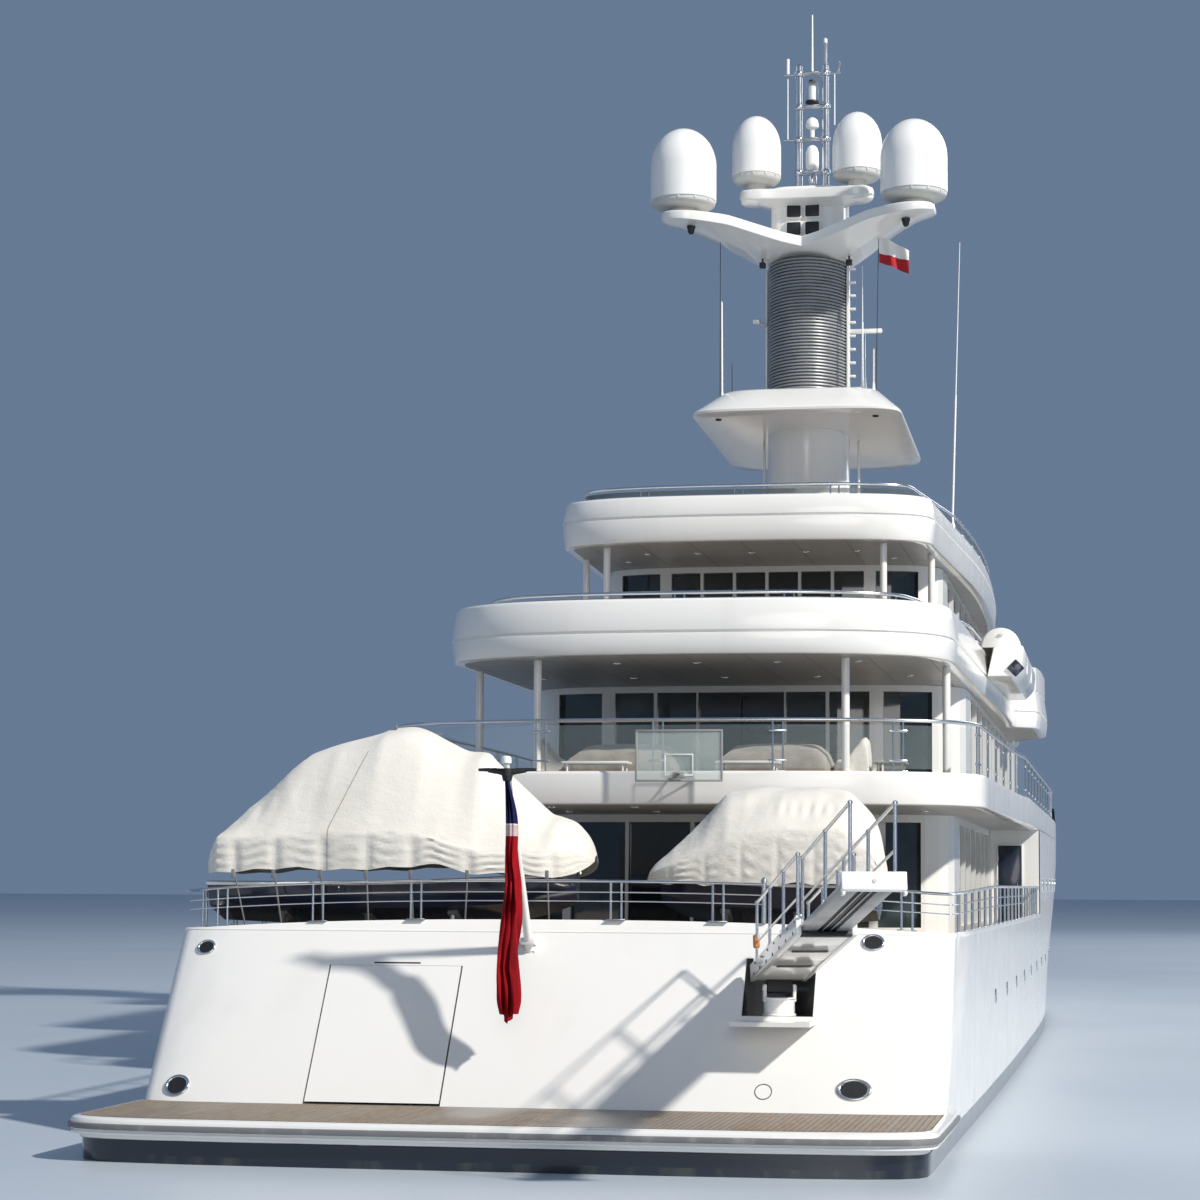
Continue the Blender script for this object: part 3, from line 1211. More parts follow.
DOME_SEAT = [(0.0, 2.488), (0.040, 2.488), (0.046, 2.492), (0.048, 2.498), (0.048, 2.5195)]
DOME_SEAT += [(0.0455, 2.522), (0.0, 2.522)]
for x in (-0.154, 0.154):
    spun(head, DOME_SEAT, (x, 4.042, 0), 40)
piece("mast_head_block", head, paint_house, stands_for=["mast_head"])
lamps, lamp_frames = bmesh.new(), bmesh.new()
for x in (-0.059, -0.003):
    for z in (2.386, 2.441):
        block(lamp_frames, (x - 0.003, 4.022, z - 0.003), (x + 0.047, 4.032, z + 0.044), bevel=0.004)
        block(lamps, (x + 0.001, 4.019, z + 0.001), (x + 0.043, 4.024, z + 0.040), bevel=0.003)
piece("mast_lamp_frames", lamp_frames, paint_house)
piece("mast_lamps", lamps, black)

# Satellite domes: moulded white shells with a satin gel coat. Each stands on a neck and a bolted
# base ring, which is a shade greyer.
shell = Finish("radome_gelcoat", (0.86, 0.86, 0.84), 0.32, "radome_shell", Coat_Weight=0.25)
shell_dust = shell.noise(5, 5, (1, 1, 0.4)).ramp(0.45, 0.8) * 0.35
shell.coloured(shell_dust, (0.86, 0.86, 0.84), (0.7, 0.69, 0.66))
shell.roughened(40, 4, 0.12, 0.26)
base_grey = Finish("radome_base", (0.58, 0.58, 0.56), 0.45, "radome_shell")
base_grey.coloured(base_grey.noise(12, 5), (0.66, 0.66, 0.63), (0.46, 0.46, 0.44))
base_grey.relief(base_grey.noise(120, 3), 0.0003)
DOMES = (
    # name, across, station, foot, radius, height, skirt above the foot, base's underside
    ("radome_large", 0.342, 3.822, 2.4055, 0.098, 0.2628, 0.0430, 0.0190),
    ("radome_small", 0.154, 4.042, 2.5225, 0.075, 0.2398, 0.0530, 0.0270),
)
LUGS = 12
for name, x, y, foot, radius, height, skirt, under in DOMES:
    for label, side in (("port", -1), ("stbd", 1)):
        cover, base = bmesh.new(), bmesh.new()
        spring = 0.56 * height
        curve = [math.radians(4 + 86 * k / 16) for k in range(17)]
        profile = [(0.95 * radius, skirt - 0.001), (0.995 * radius, skirt), (radius, skirt + 0.004)]
        profile += [(radius, spring)]
        profile += [(radius * math.cos(a), spring + (height - spring) * math.sin(a)) for a in curve]
        spun(cover, profile[:-1] + [(0.0, height)], (side * x, y, foot), 56)
        piece(f"{name}_{label}_cover", cover, shell, stands_for=[f"{name}_{label}"])
        rise = skirt - under
        seat = [(0.0, 0.0), (0.5, 0.0), (0.5, 0.003), (0.39, 0.004)]
        dish = ((0.38, 0), (0.66, 0.06), (0.84, 0.2), (0.95, 0.48), (0.965, 0.62))
        seat += [(r, under + share * rise) for r, share in dish] + [(0.965, skirt), (0.0, skirt)]
        spun(base, [(r * radius, h) for r, h in seat], (side * x, y, foot), 48)
        for k in range(LUGS):
            turn = math.tau * k / LUGS
            out = 0.955 * radius * Vector((math.cos(turn), math.sin(turn), 0))
            lug = out + Vector((side * x, y, foot + skirt - 0.2 * rise))
            box_about(base, lug, (0.003, 0.003, 0.004), Matrix.Rotation(turn, 4, "Z"), 0.001)
        piece(f"{name}_{label}_base", base, base_grey)

# Lattice: twin stainless poles welded to the head block, with rungs between them. They carry two
# small domes, a lantern and short aerials.
lattice = bmesh.new()
POLE_X, POLE_Y = 0.041, 4.185
for x in (-POLE_X, POLE_X):
    bar(lattice, (x, POLE_Y, 2.5403), (x, POLE_Y, 2.952), 0.0112, 20, 0.0102)
    spun(lattice, [(0.0102, 2.951), (0.0102, 2.957), (0.0, 2.966)], (x, POLE_Y, 0), 20)
    spun(lattice, [(0.017, 0), (0.017, 0.004), (0.0112, 0.007)], (x, POLE_Y, 2.5403), 20)
bar(lattice, (POLE_X, POLE_Y, 2.95), (POLE_X, POLE_Y, 3.030), 0.0058, 14, 0.0052)
RUNGS = (2.618, 2.722, 2.825, 2.930)
RUNG_CLAMP = [(0.0125, -0.006), (0.0150, -0.002), (0.0150, 0.007), (0.0125, 0.011)]
for z in RUNGS:
    for y in (POLE_Y - 0.008, POLE_Y + 0.008):
        bar(lattice, (-POLE_X - 0.008, y, z + 0.0035), (POLE_X + 0.008, y, z + 0.0035), 0.0034)
    block(lattice, (-0.02, POLE_Y - 0.012, z + 0.004), (0.02, POLE_Y + 0.012, z + 0.0075), bevel=0.001)
for x in (-POLE_X, POLE_X):
    for z in RUNGS:
        spun(lattice, RUNG_CLAMP, (x, POLE_Y, z), 18)
bar(lattice, (-0.0865, POLE_Y, 2.932), (0.0865, POLE_Y, 2.932), 0.0032)
bar(lattice, (0.080, POLE_Y, 2.932), (0.087, POLE_Y, 2.966), 0.0026)
bar(lattice, (-0.090, POLE_Y, 2.7255), (-POLE_X, POLE_Y, 2.7255), 0.0026)
HORN = [(0.0, 2.580), (0.010, 2.580), (0.014, 2.588), (0.014, 2.608), (0.009, 2.618), (0.0, 2.619)]
spun(lattice, HORN, (0, POLE_Y, 0), 24)
piece("lattice_poles", lattice, steel, stands_for=["lattice_mast"])
small_white = bmesh.new()
LARGER_DOME = [(0.0, 2.626), (0.014, 2.626), (0.019, 2.632), (0.0205, 2.644), (0.0205, 2.682)]
LARGER_DOME += [(0.016, 2.698), (0.007, 2.706), (0.0, 2.707)]
LESSER_DOME = [(0.0, 2.730), (0.007, 2.730), (0.0075, 2.757), (0.0185, 2.761), (0.0205, 2.770)]
LESSER_DOME += [(0.017, 2.785), (0.008, 2.793), (0.0, 2.795)]
LANTERN_CORE = [(0.0, 2.846), (0.011, 2.846), (0.011, 2.892), (0.0, 2.896)]
for outline in (LARGER_DOME, LESSER_DOME, LANTERN_CORE):
    spun(small_white, outline, (0, POLE_Y, 0), 28)
for x, low, high in ((-0.0762, 2.728, 2.919), (0.0695, 2.768, 2.930)):
    bar(small_white, (x, POLE_Y, low), (x, POLE_Y, high), 0.0022, 10, 0.0018)
spun(small_white, [(0.0, 0.0), (0.006, 0.0), (0.006, 0.012), (0.0, 0.018)], (POLE_X, POLE_Y, 3.028), 16)
bar(small_white, (-0.076, POLE_Y, 2.934), (-0.076, POLE_Y, 2.982), 0.0048, 12)
bar(small_white, (0, POLE_Y, 2.934), (0, POLE_Y, 3.119), 0.0038, 12, 0.0022)
piece("lattice_fittings", small_white, shell)
LANTERN = [(0.0, 2.846), (0.0205, 2.846), (0.0205, 2.898), (0.017, 2.904), (0.0, 2.905)]
LANTERN_FOOT = [(0.0, 2.832), (0.013, 2.832), (0.015, 2.838), (0.0215, 2.840), (0.0215, 2.8455)]
LANTERN_FOOT += [(0.0, 2.8456)]
LANTERN_CAP = [(0.0, 2.9052), (0.012, 2.9052), (0.010, 2.912), (0.0, 2.913)]
beacon = bmesh.new()
spun(beacon, LANTERN, (0, POLE_Y, 0), 28)
piece("lattice_beacon", beacon, pane)
beacon_foot = bmesh.new()
spun(beacon_foot, LANTERN_FOOT, (0, POLE_Y, 0), 28)
spun(beacon_foot, LANTERN_CAP, (0, POLE_Y, 0), 28)
piece("lattice_beacon_foot", beacon_foot, black)

# Whip aerials of white fibreglass stand on the collar and on the sun deck's starboard corner, each
# thicker in its lower length.
WHIPS = (
    # foot, top, height of the thicker length
    ((-0.2405, 3.93, 1.866), (-0.2425, 3.93, 2.170), 2.165),
    ((0.177, 3.96, 1.884), (0.1775, 3.96, 2.27), 2.1),
    ((0.1865, 3.95, 1.884), (0.1865, 3.95, 2.066), 1.93),
    ((0.2135, 3.93, 1.884), (0.214, 3.93, 2.014), 2.010),
    ((0.484, 3.30, 1.392), (0.507, 3.30, 2.17), 1.75),
)
WHIP_FOOT = [(0.008, -0.005), (0.008, 0.004), (0.005, 0.012), (0.0036, 0.03)]
whips = bmesh.new()
for foot, top, change in WHIPS:
    foot, top = Vector(foot), Vector(top)
    middle = foot.lerp(top, (change - foot.z) / (top.z - foot.z))
    bar(whips, foot, middle, 0.0034, 12, 0.0027)
    bar(whips, middle, top, 0.0018, 8, 0.0009)
    spun(whips, WHIP_FOOT, foot, 16)
piece("whip_aerials", whips, shell)

# Rod aerials: thin black rods beside the whips. Two run from the collar up to the crosstree, and
# a short one stands free.
RODS = (
    # foot, top
    ((-0.2455, 3.925, 1.862), (-0.2465, 3.925, 2.366)),
    ((-0.2100, 3.930, 1.878), (-0.2105, 3.930, 1.980)),
    ((0.2205, 3.925, 1.876), (0.2290, 3.925, 2.350)),
)
rods = bmesh.new()
for foot, top in RODS:
    bar(rods, foot, top, 0.0013, 8, 0.0010)
piece("rod_aerials", rods, black)

# Courtesy flag: a small square of woven bunting, white over red, bent on to the starboard rod. It
# sags from its upper corner in light air.
pennant = Finish("courtesy_bunting", (0.8, 0.79, 0.77), 0.8, "red_bunting")
drop = pennant.axis("Z") + (pennant.axis("X") - 0.2290) * 0.36
pennant.coloured(drop < 2.2985, (0.8, 0.79, 0.77), (0.42, 0.01, 0.02))
pennant.relief(pennant.noise(60, 4, (2, 2, 0.4)), 0.0008, 0.5)
FLAG_FLY, FLAG_HOIST = 0.098, 0.080
FLAG_X, FLAG_Y, FLAG_FOOT = 0.2305, 3.9235, 2.270


def flag_point(i, j):
    fly, hoist = FLAG_FLY * i / 28, FLAG_HOIST * j / 16
    sag = 0.36 * fly + 1.1 * fly * fly
    wave = 0.007 * math.sin(fly * 110 + hoist * 20) * min(1.0, fly * 30)
    return (FLAG_X + 0.93 * fly, FLAG_Y - 0.30 * fly + wave, FLAG_FOOT - sag + hoist * (1 - 1.2 * fly))


flag = bmesh.new()
skin(flag, 28, 16, flag_point)
courtesy_flag = piece("courtesy_flag", flag, pennant, smooth=80, outward=False)

# Dome cameras hang under the crosstree's tips on short stems, and a radar scanner, a moulded bar
# on a turning neck, stands on its post ahead of the drum.
CAMERA = [(0.0, -0.018), (0.006, -0.0165), (0.0095, -0.0105), (0.0105, -0.003), (0.0125, 0.0)]
CAMERA += [(0.0125, 0.006)]
SCANNER_NECK = [(0.0, 1.9602), (0.02, 1.9602), (0.02, 1.966), (0.014, 1.969), (0.014, 1.977)]
cameras = bmesh.new()
for x in (-0.315, 0.32):
    spun(cameras, CAMERA, (x, 3.80, 2.362), 24)
piece("dome_cameras", cameras, black)
scanner = bmesh.new()
spun(scanner, SCANNER_NECK, SCANNER, 28)
block(scanner, (-0.145, 4.418, 1.974), (0.145, 4.442, 1.992), bevel=0.005, segments=3)
piece("radar_antenna", scanner, shell, body="radar_scanner", stands_for=["radar_scanner"])

# Ship's boats: two moulded hulls with a pale strake, athwart the aft deck on painted chocks. The
# larger one's bow points to starboard.
navy = Finish("navy_gelcoat", (0.012, 0.018, 0.04), 0.12, "dark_paint", Coat_Weight=0.5)
navy_dust = navy.noise(9, 5).ramp(0.4, 0.75) * 0.5
navy.coloured(navy_dust, (0.012, 0.018, 0.04), (0.06, 0.065, 0.08))
navy.roughened(30, 4, 0.2, 0.08)
BOAT_SECTIONS = (
    # share of the length, half-breadth, keel lift, rail lift
    (0.0, 0.82, 0.1, 0.0),
    (0.3, 1.0, 0.0, 0.0),
    (0.62, 0.96, 0.02, 0.06),
    (0.84, 0.62, 0.16, 0.16),
    (0.97, 0.16, 0.5, 0.28),
)
KEEL_TO_RAIL = (
    # share of the girth, across, up
    (0.0, 0.0, 0.0),
    (0.45, 0.78, 0.34),
    (0.55, 0.86, 0.46),
    (1.0, 1.0, 1.0),
)


def boat_hull(name, stern, bow, middle, half, keel, rail, chocks):
    """A boat lying athwart the deck from its stern to its bow, each given across the ship."""
    hull, strake, cradle = bmesh.new(), bmesh.new(), bmesh.new()

    def ring(share):
        x = stern + (bow - stern) * share
        wide, lift, sheer = (between(BOAT_SECTIONS, share, k) for k in (1, 2, 3))
        low, high = keel + lift * (rail - keel), rail + sheer * (rail - keel)
        shares = [(between(KEEL_TO_RAIL, k / 8, 1), between(KEEL_TO_RAIL, k / 8, 2)) for k in range(9)]
        side = [(half * wide * out, low + (high - low) * up) for out, up in shares]
        side.append((half * wide * 0.9, high))
        other = [(x, middle - y, z) for y, z in side[::-1] if y > 1e-6]
        return [(x, middle + y, z) for y, z in side] + other

    rings = [ring(0.97 * k / 24) for k in range(25)]
    rings_skin(hull, rings)
    piece(name + "_hull", hull, navy, stands_for=[name], smooth=30)
    edges, below = [ring[8] for ring in rings], Vector((0, 0, 0.004))
    for line in (edges, [(x, 2 * middle - y, z) for x, y, z in edges]):
        for a, b in zip(line, line[1:]):
            bar(strake, Vector(a) - below, Vector(b) - below, 0.0032, 8)
    piece(name + "_strake", strake, shell)
    for share in chocks:
        x = stern + (bow - stern) * share
        box_about(cradle, (x, middle, MAIN_DECK + 0.0063), (0.006, 0.09, 0.0057), bevel=0.001)
        for side in (-1, 1):
            for lean in (0.35, 0.62):
                foot = Vector((x, middle + side * half * 0.74, MAIN_DECK + 0.01))
                bar(cradle, foot, (x, middle + side * half * lean, keel + 0.03), 0.004, 10)
            pad = (x, middle + side * half * 0.5, keel + 0.017)
            box_about(cradle, pad, (0.009, 0.02, 0.005), Matrix.Rotation(side * 0.4, 4, "X"), 0.002)
    piece(name + "_chocks", cradle, rubber)


boat_hull("tender_port", -0.640, 0.020, 0.690, 0.118, 0.352, 0.428, (0.2, 0.43, 0.66))
boat_hull("tender_stbd", 0.512, 0.112, 0.830, 0.092, 0.356, 0.428, (0.34, 0.66))

# Boat covers: cut and sewn from cream acrylic canvas, drawn tight over the boats' frames and tied
# down along a hem, where the walls crease between the ties. Seams run across at each frame.
canvas = Finish("boat_canvas", (0.72, 0.68, 0.6), 0.82, "boat_canvas", Sheen_Weight=0.25, Sheen_Roughness=0.6)
rain = canvas.noise(7, 6, (1, 1, 0.45)).ramp(0.42, 0.72)
hem_dirt = (canvas.axis("Z") * -14 + 6.55) * canvas.noise(16, 5, (1, 1, 0.4))
stain = (rain * 0.35 + hem_dirt.ramp(0.05, 0.6) * 0.3) + canvas.noise(60, 4) * 0.08
weathered = canvas.tint(stain, (0.76, 0.73, 0.66), (0.47, 0.44, 0.39))
height = canvas.axis("Z") - 0.52
over_shoulder = height.math("MAXIMUM", height, 0.0)
from_seam = (canvas.axis("X") + 0.414 - over_shoulder * 0.375).apply("ABSOLUTE")
seam = (from_seam < 0.0009) * (height < 0.135)
canvas.coloured(seam * 0.8, weathered, (0.2, 0.18, 0.16))
canvas.roughened(30, 3, 0.15, 0.74)
canvas.relief(canvas.noise(34, 6, (0.7, 0.7, 1.6)) + canvas.noise(240, 3) * 0.25, 0.004, 0.5)
COVER_ACROSS, COVER_ALONG = 84, 170


def boat_cover(name, stern, bow, middle, half, rows, ties, node, seed, crown, drawn):
    """Rows give share of the length, half-breadth, hem, shoulder, ridge, and the ridge's place."""
    first, last = rows[0][0], rows[-1][0]

    def place(i, j):
        share = first + (last - first) * (0.5 - 0.5 * math.cos(math.pi * j / COVER_ALONG))
        wide, hem, shoulder, ridge, lead = (between(rows, share, k) for k in range(1, 6))
        x = stern + (bow - stern) * share
        across = math.sin(math.pi * (i / COVER_ACROSS - 0.5))
        reach = abs(across)
        near = min(abs(share - tie) for tie in ties)
        scallop = min(1.0, near * 14) * 0.005
        brow = shoulder + (ridge - shoulder) * crown
        wall_top = shoulder - 0.2 * (shoulder - hem)
        girth = (
            # reach, across, up
            (0.0, 0.0, ridge),
            (0.36, 0.45, brow),
            (0.72, 0.95, shoulder),
            (0.80, 1.0, wall_top),
            (1.0, 0.985, hem + scallop),
        )
        out, up = between(girth, reach, 1), between(girth, reach, 2)
        wall = max(0.0, min(1.0, (reach - 0.66) * 9)) * max(0.0, min(1.0, (1 - reach) * 16))
        slack = min(1.0, near * 22) * (0.35 + 0.65 * math.sin(share * 21 + 1.7 * seed) ** 2)
        level = reach * 88 + 1.6 * math.sin(share * 31 + seed) + 0.9 * math.sin(share * 83 + seed)
        crease = math.sin(level) * 0.0019 * slack + math.sin(level * 2.3 + share * 40) * 0.0007 * slack
        pinch = -0.004 * drawn * math.exp(-((near * 70) ** 2)) * max(0.0, min(1.0, (reach - 0.74) * 8))
        below_ridge = max(0.0, 1 - abs(reach - 0.4) * 2.4)
        pull = -0.0035 * drawn * math.sin(math.pi * min(1.0, near * 9)) * below_ridge
        sway = 0.0014 * math.sin(share * 23 + reach * 8 + seed)
        on_shoulder = max(0.0, 1 - abs(reach - 0.52) * 7) ** 2
        fan = 0.0022 * math.sin(share * 118 + seed) * on_shoulder * max(0.0, math.sin(share * 7 + seed))
        side = math.copysign(1, across)
        y = middle + side * half * wide * out + lead * half * max(0.0, 1 - reach) ** 1.5
        y += side * (crease * wall + pinch + pull * 0.3)
        return (x, y, up + (pull + sway + fan) * (1 - wall * 0.7))

    cover = bmesh.new()
    skin(cover, COVER_ACROSS, COVER_ALONG, place)
    made = piece(name, cover, canvas, stands_for=[node], smooth=70, outward=False)
    thickness = made.modifiers.new("cloth", "SOLIDIFY")
    thickness.thickness = 0.0007
    thickness.offset = -1
    return made


cover_port = boat_cover(
    "boat_cover_port", -0.640, 0.020, 0.690, 0.118,
    (
        # share, half-breadth, hem, shoulder, ridge, lead
        (-0.036, 0.16, 0.446, 0.454, 0.464, 0.0),
        (-0.020, 0.44, 0.438, 0.462, 0.478, 0.0),
        (0.0, 0.72, 0.435, 0.474, 0.500, 0.0),
        (0.022, 0.93, 0.437, 0.494, 0.522, 0.0),
        (0.038, 1.04, 0.440, 0.503, 0.533, 0.0),
        (0.12, 1.08, 0.445, 0.508, 0.583, 0.0),
        (0.225, 1.10, 0.447, 0.514, 0.646, 0.0),
        (0.25, 1.10, 0.447, 0.516, 0.655, 0.0),
        (0.43, 1.12, 0.447, 0.522, 0.690, 0.0),
        (0.466, 1.12, 0.447, 0.522, 0.698, 0.0),
        (0.534, 1.12, 0.449, 0.520, 0.698, 0.0),
        (0.62, 1.10, 0.456, 0.510, 0.672, 0.0),
        (0.67, 1.08, 0.450, 0.500, 0.658, 0.0),
        (0.728, 1.06, 0.440, 0.490, 0.654, 0.0),
        (0.748, 1.04, 0.438, 0.486, 0.640, 0.0),
        (0.895, 0.88, 0.437, 0.482, 0.549, 0.0),
        (0.93, 0.80, 0.437, 0.486, 0.541, 0.0),
        (0.965, 0.66, 0.438, 0.488, 0.533, 0.0),
        (0.99, 0.52, 0.442, 0.484, 0.517, 0.0),
        (1.008, 0.36, 0.449, 0.474, 0.496, 0.0),
        (1.018, 0.14, 0.458, 0.466, 0.476, 0.0),
    ),
    (0.09, 0.2, 0.33, 0.45, 0.57, 0.72, 0.93), "tender_cover_port", 0.7, 0.8, 1.0,
)
cover_stbd = boat_cover(
    "boat_cover_stbd", 0.112, 0.512, 0.830, 0.092,
    (
        # share, half-breadth, hem, shoulder, ridge, lead
        (-0.025, 0.22, 0.428, 0.434, 0.440, 0.0),
        (0.0, 0.55, 0.425, 0.444, 0.460, 0.0),
        (0.10, 0.90, 0.424, 0.462, 0.496, 0.1),
        (0.24, 1.02, 0.424, 0.486, 0.552, 0.2),
        (0.31, 1.06, 0.424, 0.500, 0.586, 0.3),
        (0.36, 1.08, 0.424, 0.512, 0.594, 0.35),
        (0.6, 1.12, 0.424, 0.526, 0.599, 0.35),
        (0.84, 1.12, 0.424, 0.524, 0.594, 0.35),
        (0.88, 1.10, 0.424, 0.520, 0.586, 0.3),
        (0.97, 1.02, 0.424, 0.494, 0.548, 0.1),
        (1.0, 0.96, 0.424, 0.480, 0.520, 0.0),
        (1.015, 0.84, 0.428, 0.462, 0.486, 0.0),
        (1.024, 0.55, 0.434, 0.450, 0.464, 0.0),
        (1.028, 0.16, 0.440, 0.444, 0.450, 0.0),
    ),
    (0.1, 0.26, 0.42, 0.58, 0.74, 0.9), "tender_cover_stbd", 2.9, 0.74, 0.4,
)
# Ties of black webbing run from the hem to the deck, each through a small tab.
TIES = (
    # across, how far its foot leans
    (-0.580, 0.02), (-0.508, 0.012), (-0.424, 0.0), (-0.343, 0.0), (-0.264, 0.0), (-0.165, -0.01),
    (-0.026, 0.0),
)
webbing = bmesh.new()
for x, lean in TIES:
    bar(webbing, (x, 0.5605, 0.446), (x + lean, 0.580, 0.330), 0.0016, 6)
    box_about(webbing, (x, 0.5555, 0.4405), (0.003, 0.002, 0.0075), bevel=0.0006)
block(webbing, (-0.3300, 0.682, 0.696), (-0.3265, 0.689, 0.7035), bevel=0.0006)
piece("cover_ties", webbing, rubber)

# Flagstaff: a painted alloy tube raked over the stern, in a socket on the bulwark, with a
# winged stern light and crosspiece at its head.
STAFF_X, STAFF_FOOT, STAFF_STEP, STAFF_TOP = -0.040, 0.300, 0.44, 0.618
CROSSPIECE = 0.606


def staff_at(z):
    return transom_at(0.330) - 0.0165 - (z - 0.330) * 0.60


def on_staff(z):
    return (STAFF_X, staff_at(z), z)


STAFF_BRACKETS = (
    # height, half width, how far it reaches behind the tube's axis, half height
    (0.33, 0.013, 0.008, 0.006),
    (0.31, 0.010, 0.007, 0.004),
)
STAFF_BUTT = [(0.0, -0.004), (0.008, -0.003), (0.0085, 0.0), (0.0075, 0.006)]
staff, staff_head = bmesh.new(), bmesh.new()
bar(staff, on_staff(STAFF_FOOT), on_staff(STAFF_STEP), 0.0075, 20, 0.0068)
bar(staff, on_staff(STAFF_STEP), on_staff(STAFF_TOP), 0.0062, 20, 0.0046)
spun(staff, STAFF_BUTT, on_staff(STAFF_FOOT), 20)
for z, half, reach, rise in STAFF_BRACKETS:
    low = (STAFF_X - half, staff_at(z) - reach, z - rise)
    block(staff, low, (STAFF_X + half, transom_at(z) + 0.001, z + rise), bevel=0.002)
piece("flagstaff_tube", staff, paint_house, stands_for=["flagstaff"])
WING_LENGTHS = (
    # from, to, drop, radius
    (0.004, 0.018, 0.0, 0.0062),
    (0.018, 0.031, 0.002, 0.005),
    (0.030, 0.0475, 0.004, 0.0032),
)
HUB = [(0.0, -0.018), (0.007, -0.016), (0.0095, -0.006), (0.009, 0.004), (0.0, 0.005)]
STERN_LAMP = [(0.0, 0.0), (0.0078, 0.0), (0.0084, 0.003), (0.0078, 0.0095), (0.005, 0.0118), (0.0, 0.012)]
head_y = staff_at(CROSSPIECE)
for side in (-1, 1):
    for near, far, drop, thick in WING_LENGTHS:
        start = (STAFF_X + side * near, head_y, CROSSPIECE - 0.002 + drop)
        end = (STAFF_X + side * far, head_y, CROSSPIECE + drop * 0.5)
        bar(staff_head, start, end, thick, 14, thick * 0.72)
spun(staff_head, HUB, on_staff(CROSSPIECE), 24)
piece("flagstaff_head", staff_head, black)
stern_lamp = bmesh.new()
spun(stern_lamp, STERN_LAMP, on_staff(STAFF_TOP), 28)
piece("stern_lamp", stern_lamp, shell)

# Ensign: woven red bunting, hoisted close to the staff's head and hanging limp in deep folds, the
# dark canton uppermost.
bunting = Finish("bunting", (0.3, 0.003, 0.008), 0.85, "red_bunting", Specular_IOR_Level=0.15)
weft = bunting.axis("Z")
shade = bunting.noise(18, 4, (3, 3, 0.4)).ramp(0.35, 0.75)
red = bunting.tint(shade, (0.3, 0.003, 0.008), (0.12, 0.001, 0.004))
in_canton = (weft > 0.52) * (bunting.noise(11, 2, (2.5, 2.5, 0.5)) > 0.42)
stripe = (weft > 0.502) * (weft < 0.522)
canton = bunting.tint(stripe, (0.012, 0.016, 0.07), (0.7, 0.68, 0.66))
bunting.coloured(in_canton + stripe * 0.6, red, canton)
bunting.relief(bunting.noise(420, 2) + bunting.noise(26, 4, (2, 2, 0.3)) * 2, 0.0006, 0.6)
ENSIGN_FOLDS = (
    # height, half thickness, depth, distance from the staff
    (0.212, 0.013, 0.022, 0.072),
    (0.240, 0.019, 0.030, 0.070),
    (0.300, 0.0185, 0.036, 0.064),
    (0.430, 0.0125, 0.032, 0.040),
    (0.520, 0.009, 0.024, 0.002),
    (0.596, 0.0030, 0.011, 0.001),
)
LAYERS, ENSIGN_FOOT, ENSIGN_TOP, FOLDS_FROM = 3, 0.212, 0.596, 0.430


def ensign_point(i, j):
    share, z = i / 72, ENSIGN_FOOT + (ENSIGN_TOP - ENSIGN_FOOT) * j / 96
    thick, deep, away = (between(ENSIGN_FOLDS, z, k) for k in (1, 2, 3))
    fore = staff_at(max(z, FOLDS_FROM)) - away - 0.005
    turn = math.tau * LAYERS * share
    wave = 0.5 - 0.5 * math.cos(turn)
    x = STAFF_X + thick * (1.7 * share - 0.85) + thick * 0.24 * math.sin(2 * turn + z * 37)
    ragged = 0.010 * math.sin(share * 9) if j == 0 else 0.0
    return (x, fore - deep * (0.06 + 0.88 * wave) + 0.002 * math.sin(z * 41 + share * 5), z + ragged)


ensign = bmesh.new()
skin(ensign, 72, 96, ensign_point)
ensign_cloth = piece("ensign_cloth", ensign, bunting, stands_for=["ensign"], smooth=80, outward=False)

# Covers over the loungers and chairs on the upper aft deck: taupe and cream, each fitted over its
# piece of furniture and weighted along the hem.
taupe = Finish("taupe_canvas", (0.3, 0.265, 0.225), 0.85, "taupe_canvas", Sheen_Weight=0.3)
taupe.coloured(taupe.noise(22, 5).ramp(0.35, 0.75), (0.33, 0.295, 0.25), (0.2, 0.175, 0.15))
taupe.relief(taupe.noise(60, 5, (1, 1, 0.5)) + taupe.noise(300, 2) * 0.3, 0.002, 0.5)


def furniture_cover(name, low, high, tops, finish, nodes=(), seed=0.0):
    """A fitted cover: its low and high corners, and the height of its top along its length."""
    across, along, hem = 64, 36, 0.16
    (x0, y0, z0), (x1, y1, z1) = low, high

    def place(i, j):
        u, v = 2 * i / across - 1, 2 * j / along - 1
        reach = max(abs(u), abs(v))
        inner = 1 - 2 * hem
        stretch = min(1.0, reach / inner) / max(reach, 1e-6)
        px, py = u * stretch, v * stretch
        down = max(0.0, (reach - inner) / (2 * hem))
        crown = between(tops, (px + 1) / 2, 1) - between(tops, (px + 1) / 2, 2) * (1 - py) / 2
        soft = 1 - 0.07 * (px**8 + py**6)
        z = z0 + (crown - z0) * soft * (1 - down)
        flare = 0.92 + 0.08 * min(1.0, down * 2.2)
        ruck = 1 + (0.008 * math.sin(9 * u + 7 * v + seed) + 0.007 * math.sin(31 * (u - v) + seed)) * down
        x = (x0 + x1) / 2 + (x1 - x0) / 2 * px * flare * ruck * 0.985
        y = (y0 + y1) / 2 + (y1 - y0) / 2 * py * flare * ruck * 0.985
        return (x, y, z - 0.0012 * math.sin(13 * u + seed) * math.cos(9 * v) * (1 - down))

    cover = bmesh.new()
    skin(cover, across, along, place)
    made = piece(name, cover, finish, stands_for=nodes, smooth=60, outward=False)
    cloth = made.modifiers.new("cloth", "SOLIDIFY")
    cloth.thickness, cloth.offset = 0.0006, -1


